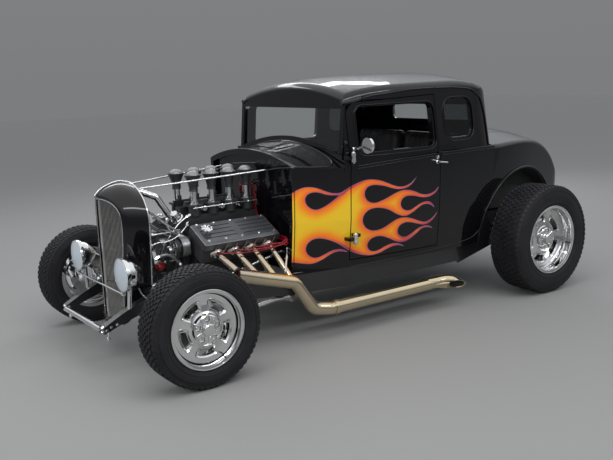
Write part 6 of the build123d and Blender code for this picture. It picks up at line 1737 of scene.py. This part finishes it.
# %% One padded piece
def pad(name, place, size, lean, channels, front):
    """A swollen, channelled pad of a given size; front is the axis its seat faces along."""
    shell = block(place, size, (0, lean, 0), 0.034, 4)
    grid = shell.modifiers.new("even_grid", "REMESH")
    grid.mode = "VOXEL"
    grid.voxel_size = 0.011
    apply_all(shell)
    before = np.array([v.co for v in shell.data.vertices])
    cloth = shell.modifiers.new("swell", "CLOTH")
    cloth.settings.use_pressure = True
    cloth.settings.uniform_pressure_force = 4
    cloth.settings.effector_weights.gravity = 0
    cloth.point_cache.frame_start = 1
    cloth.point_cache.frame_end = 20
    for step in range(1, 21):
        bpy.context.scene.frame_set(step)
    apply_all(shell)
    bpy.context.scene.frame_set(1)
    after = np.array([v.co for v in shell.data.vertices])
    moved = after - before
    reach = np.linalg.norm(moved, axis=1)
    after = before + moved * np.minimum(1, 0.012 / np.maximum(reach, 1e-9))[:, None]
    turn = math.radians(lean)
    own = after - np.array(place)
    across = own[:, 1]
    facing = (own[:, 0] * math.cos(turn) - own[:, 2] * math.sin(turn)) if front == "x" else \
        (own[:, 0] * math.sin(turn) + own[:, 2] * math.cos(turn))
    deep = size[0] / 2 if front == "x" else size[2] / 2
    on_face = np.clip((facing / deep - 0.35) / 0.5, 0, 1)
    groove = np.zeros(len(after))
    for index in range(1, channels):
        line = (index / channels - 0.5) * size[1] * 0.94
        groove = np.maximum(groove, np.exp(-((across - line) / 0.006) ** 2))
    sink = (0.008 * groove * on_face)[:, None]
    if front == "x":
        way = np.array((math.cos(turn), 0, -math.sin(turn)))
    else:
        way = np.array((math.sin(turn), 0, math.cos(turn)))
    after = after - sink * way
    shell.data.vertices.foreach_set("co", after.astype(np.float32).ravel())
    smooth = shell.modifiers.new("smooth", "SUBSURF")
    smooth.levels = smooth.render_levels = 1
    apply_all(shell)
    settle(shell, name, "chassis", hide_black, angle=60)
    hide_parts("seat")
    return shell


# %% The bench's four pads and its plinths
for side in (1, -1):
    word = side_name(side)
    pad("seat_cushion_" + word, from_axle(-1.741, side * 0.249, 0.507), (0.452, 0.470, 0.128), 3, 6, "z")
    pad("seat_back_" + word, from_axle(-2.089, side * 0.249, 0.868), (0.090, 0.470, 0.555), -8.6, 6, "x")
    plinth = block(from_axle(-1.740, side * 0.315, 0.424), (0.44, 0.36, 0.045), bevel=0.008, segments=2)
    settle(plinth, "seat_plinth_" + word, "chassis", dark_trim)
    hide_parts("seat")
print("seat pads done")

# %% [markdown]
# ## Darker quarter glass and cabin trim
#
# The small quarter windows get a near-black tint, painted shade that stands for the shaded cabin
# behind them, so they read nearly black beside the open door window. In the cabin a gear lever stands between the
# seats.

# %% Dark tinted glass in the quarter windows, painted shade of the cabin behind
# The dark tint is painted shade: it stands for the shaded cabin seen through these windows.
shade_dark_glass = clear_glass("shade_dark_glass", (0.10, 0.11, 0.115), 0.0)
window_piece = PIECES["glass"]
window_piece.data.materials.append(shade_dark_glass)
for face in window_piece.data.polygons:
    if abs(face.center.y) > 0.50 and face.center.x < -0.3:
        face.material_index = 1
TUNNEL_TOP = 0.500
lever = lathe([(0, 0), (0, 0.052), (0.010, 0.050), (0.030, 0.026), (0.055, 0.016), (0.060, 0.0065), (0.300, 0.0055),
               (0.302, 0.010), (0.310, 0.020), (0.325, 0.0245), (0.340, 0.0225), (0.350, 0.014), (0.353, 0)], 28)
scatter("gear_lever", lever, [aimed(from_axle(-1.330, 0, TUNNEL_TOP), (0.12, 0, 1))],
        "chassis", chrome)
print("cabin details done")
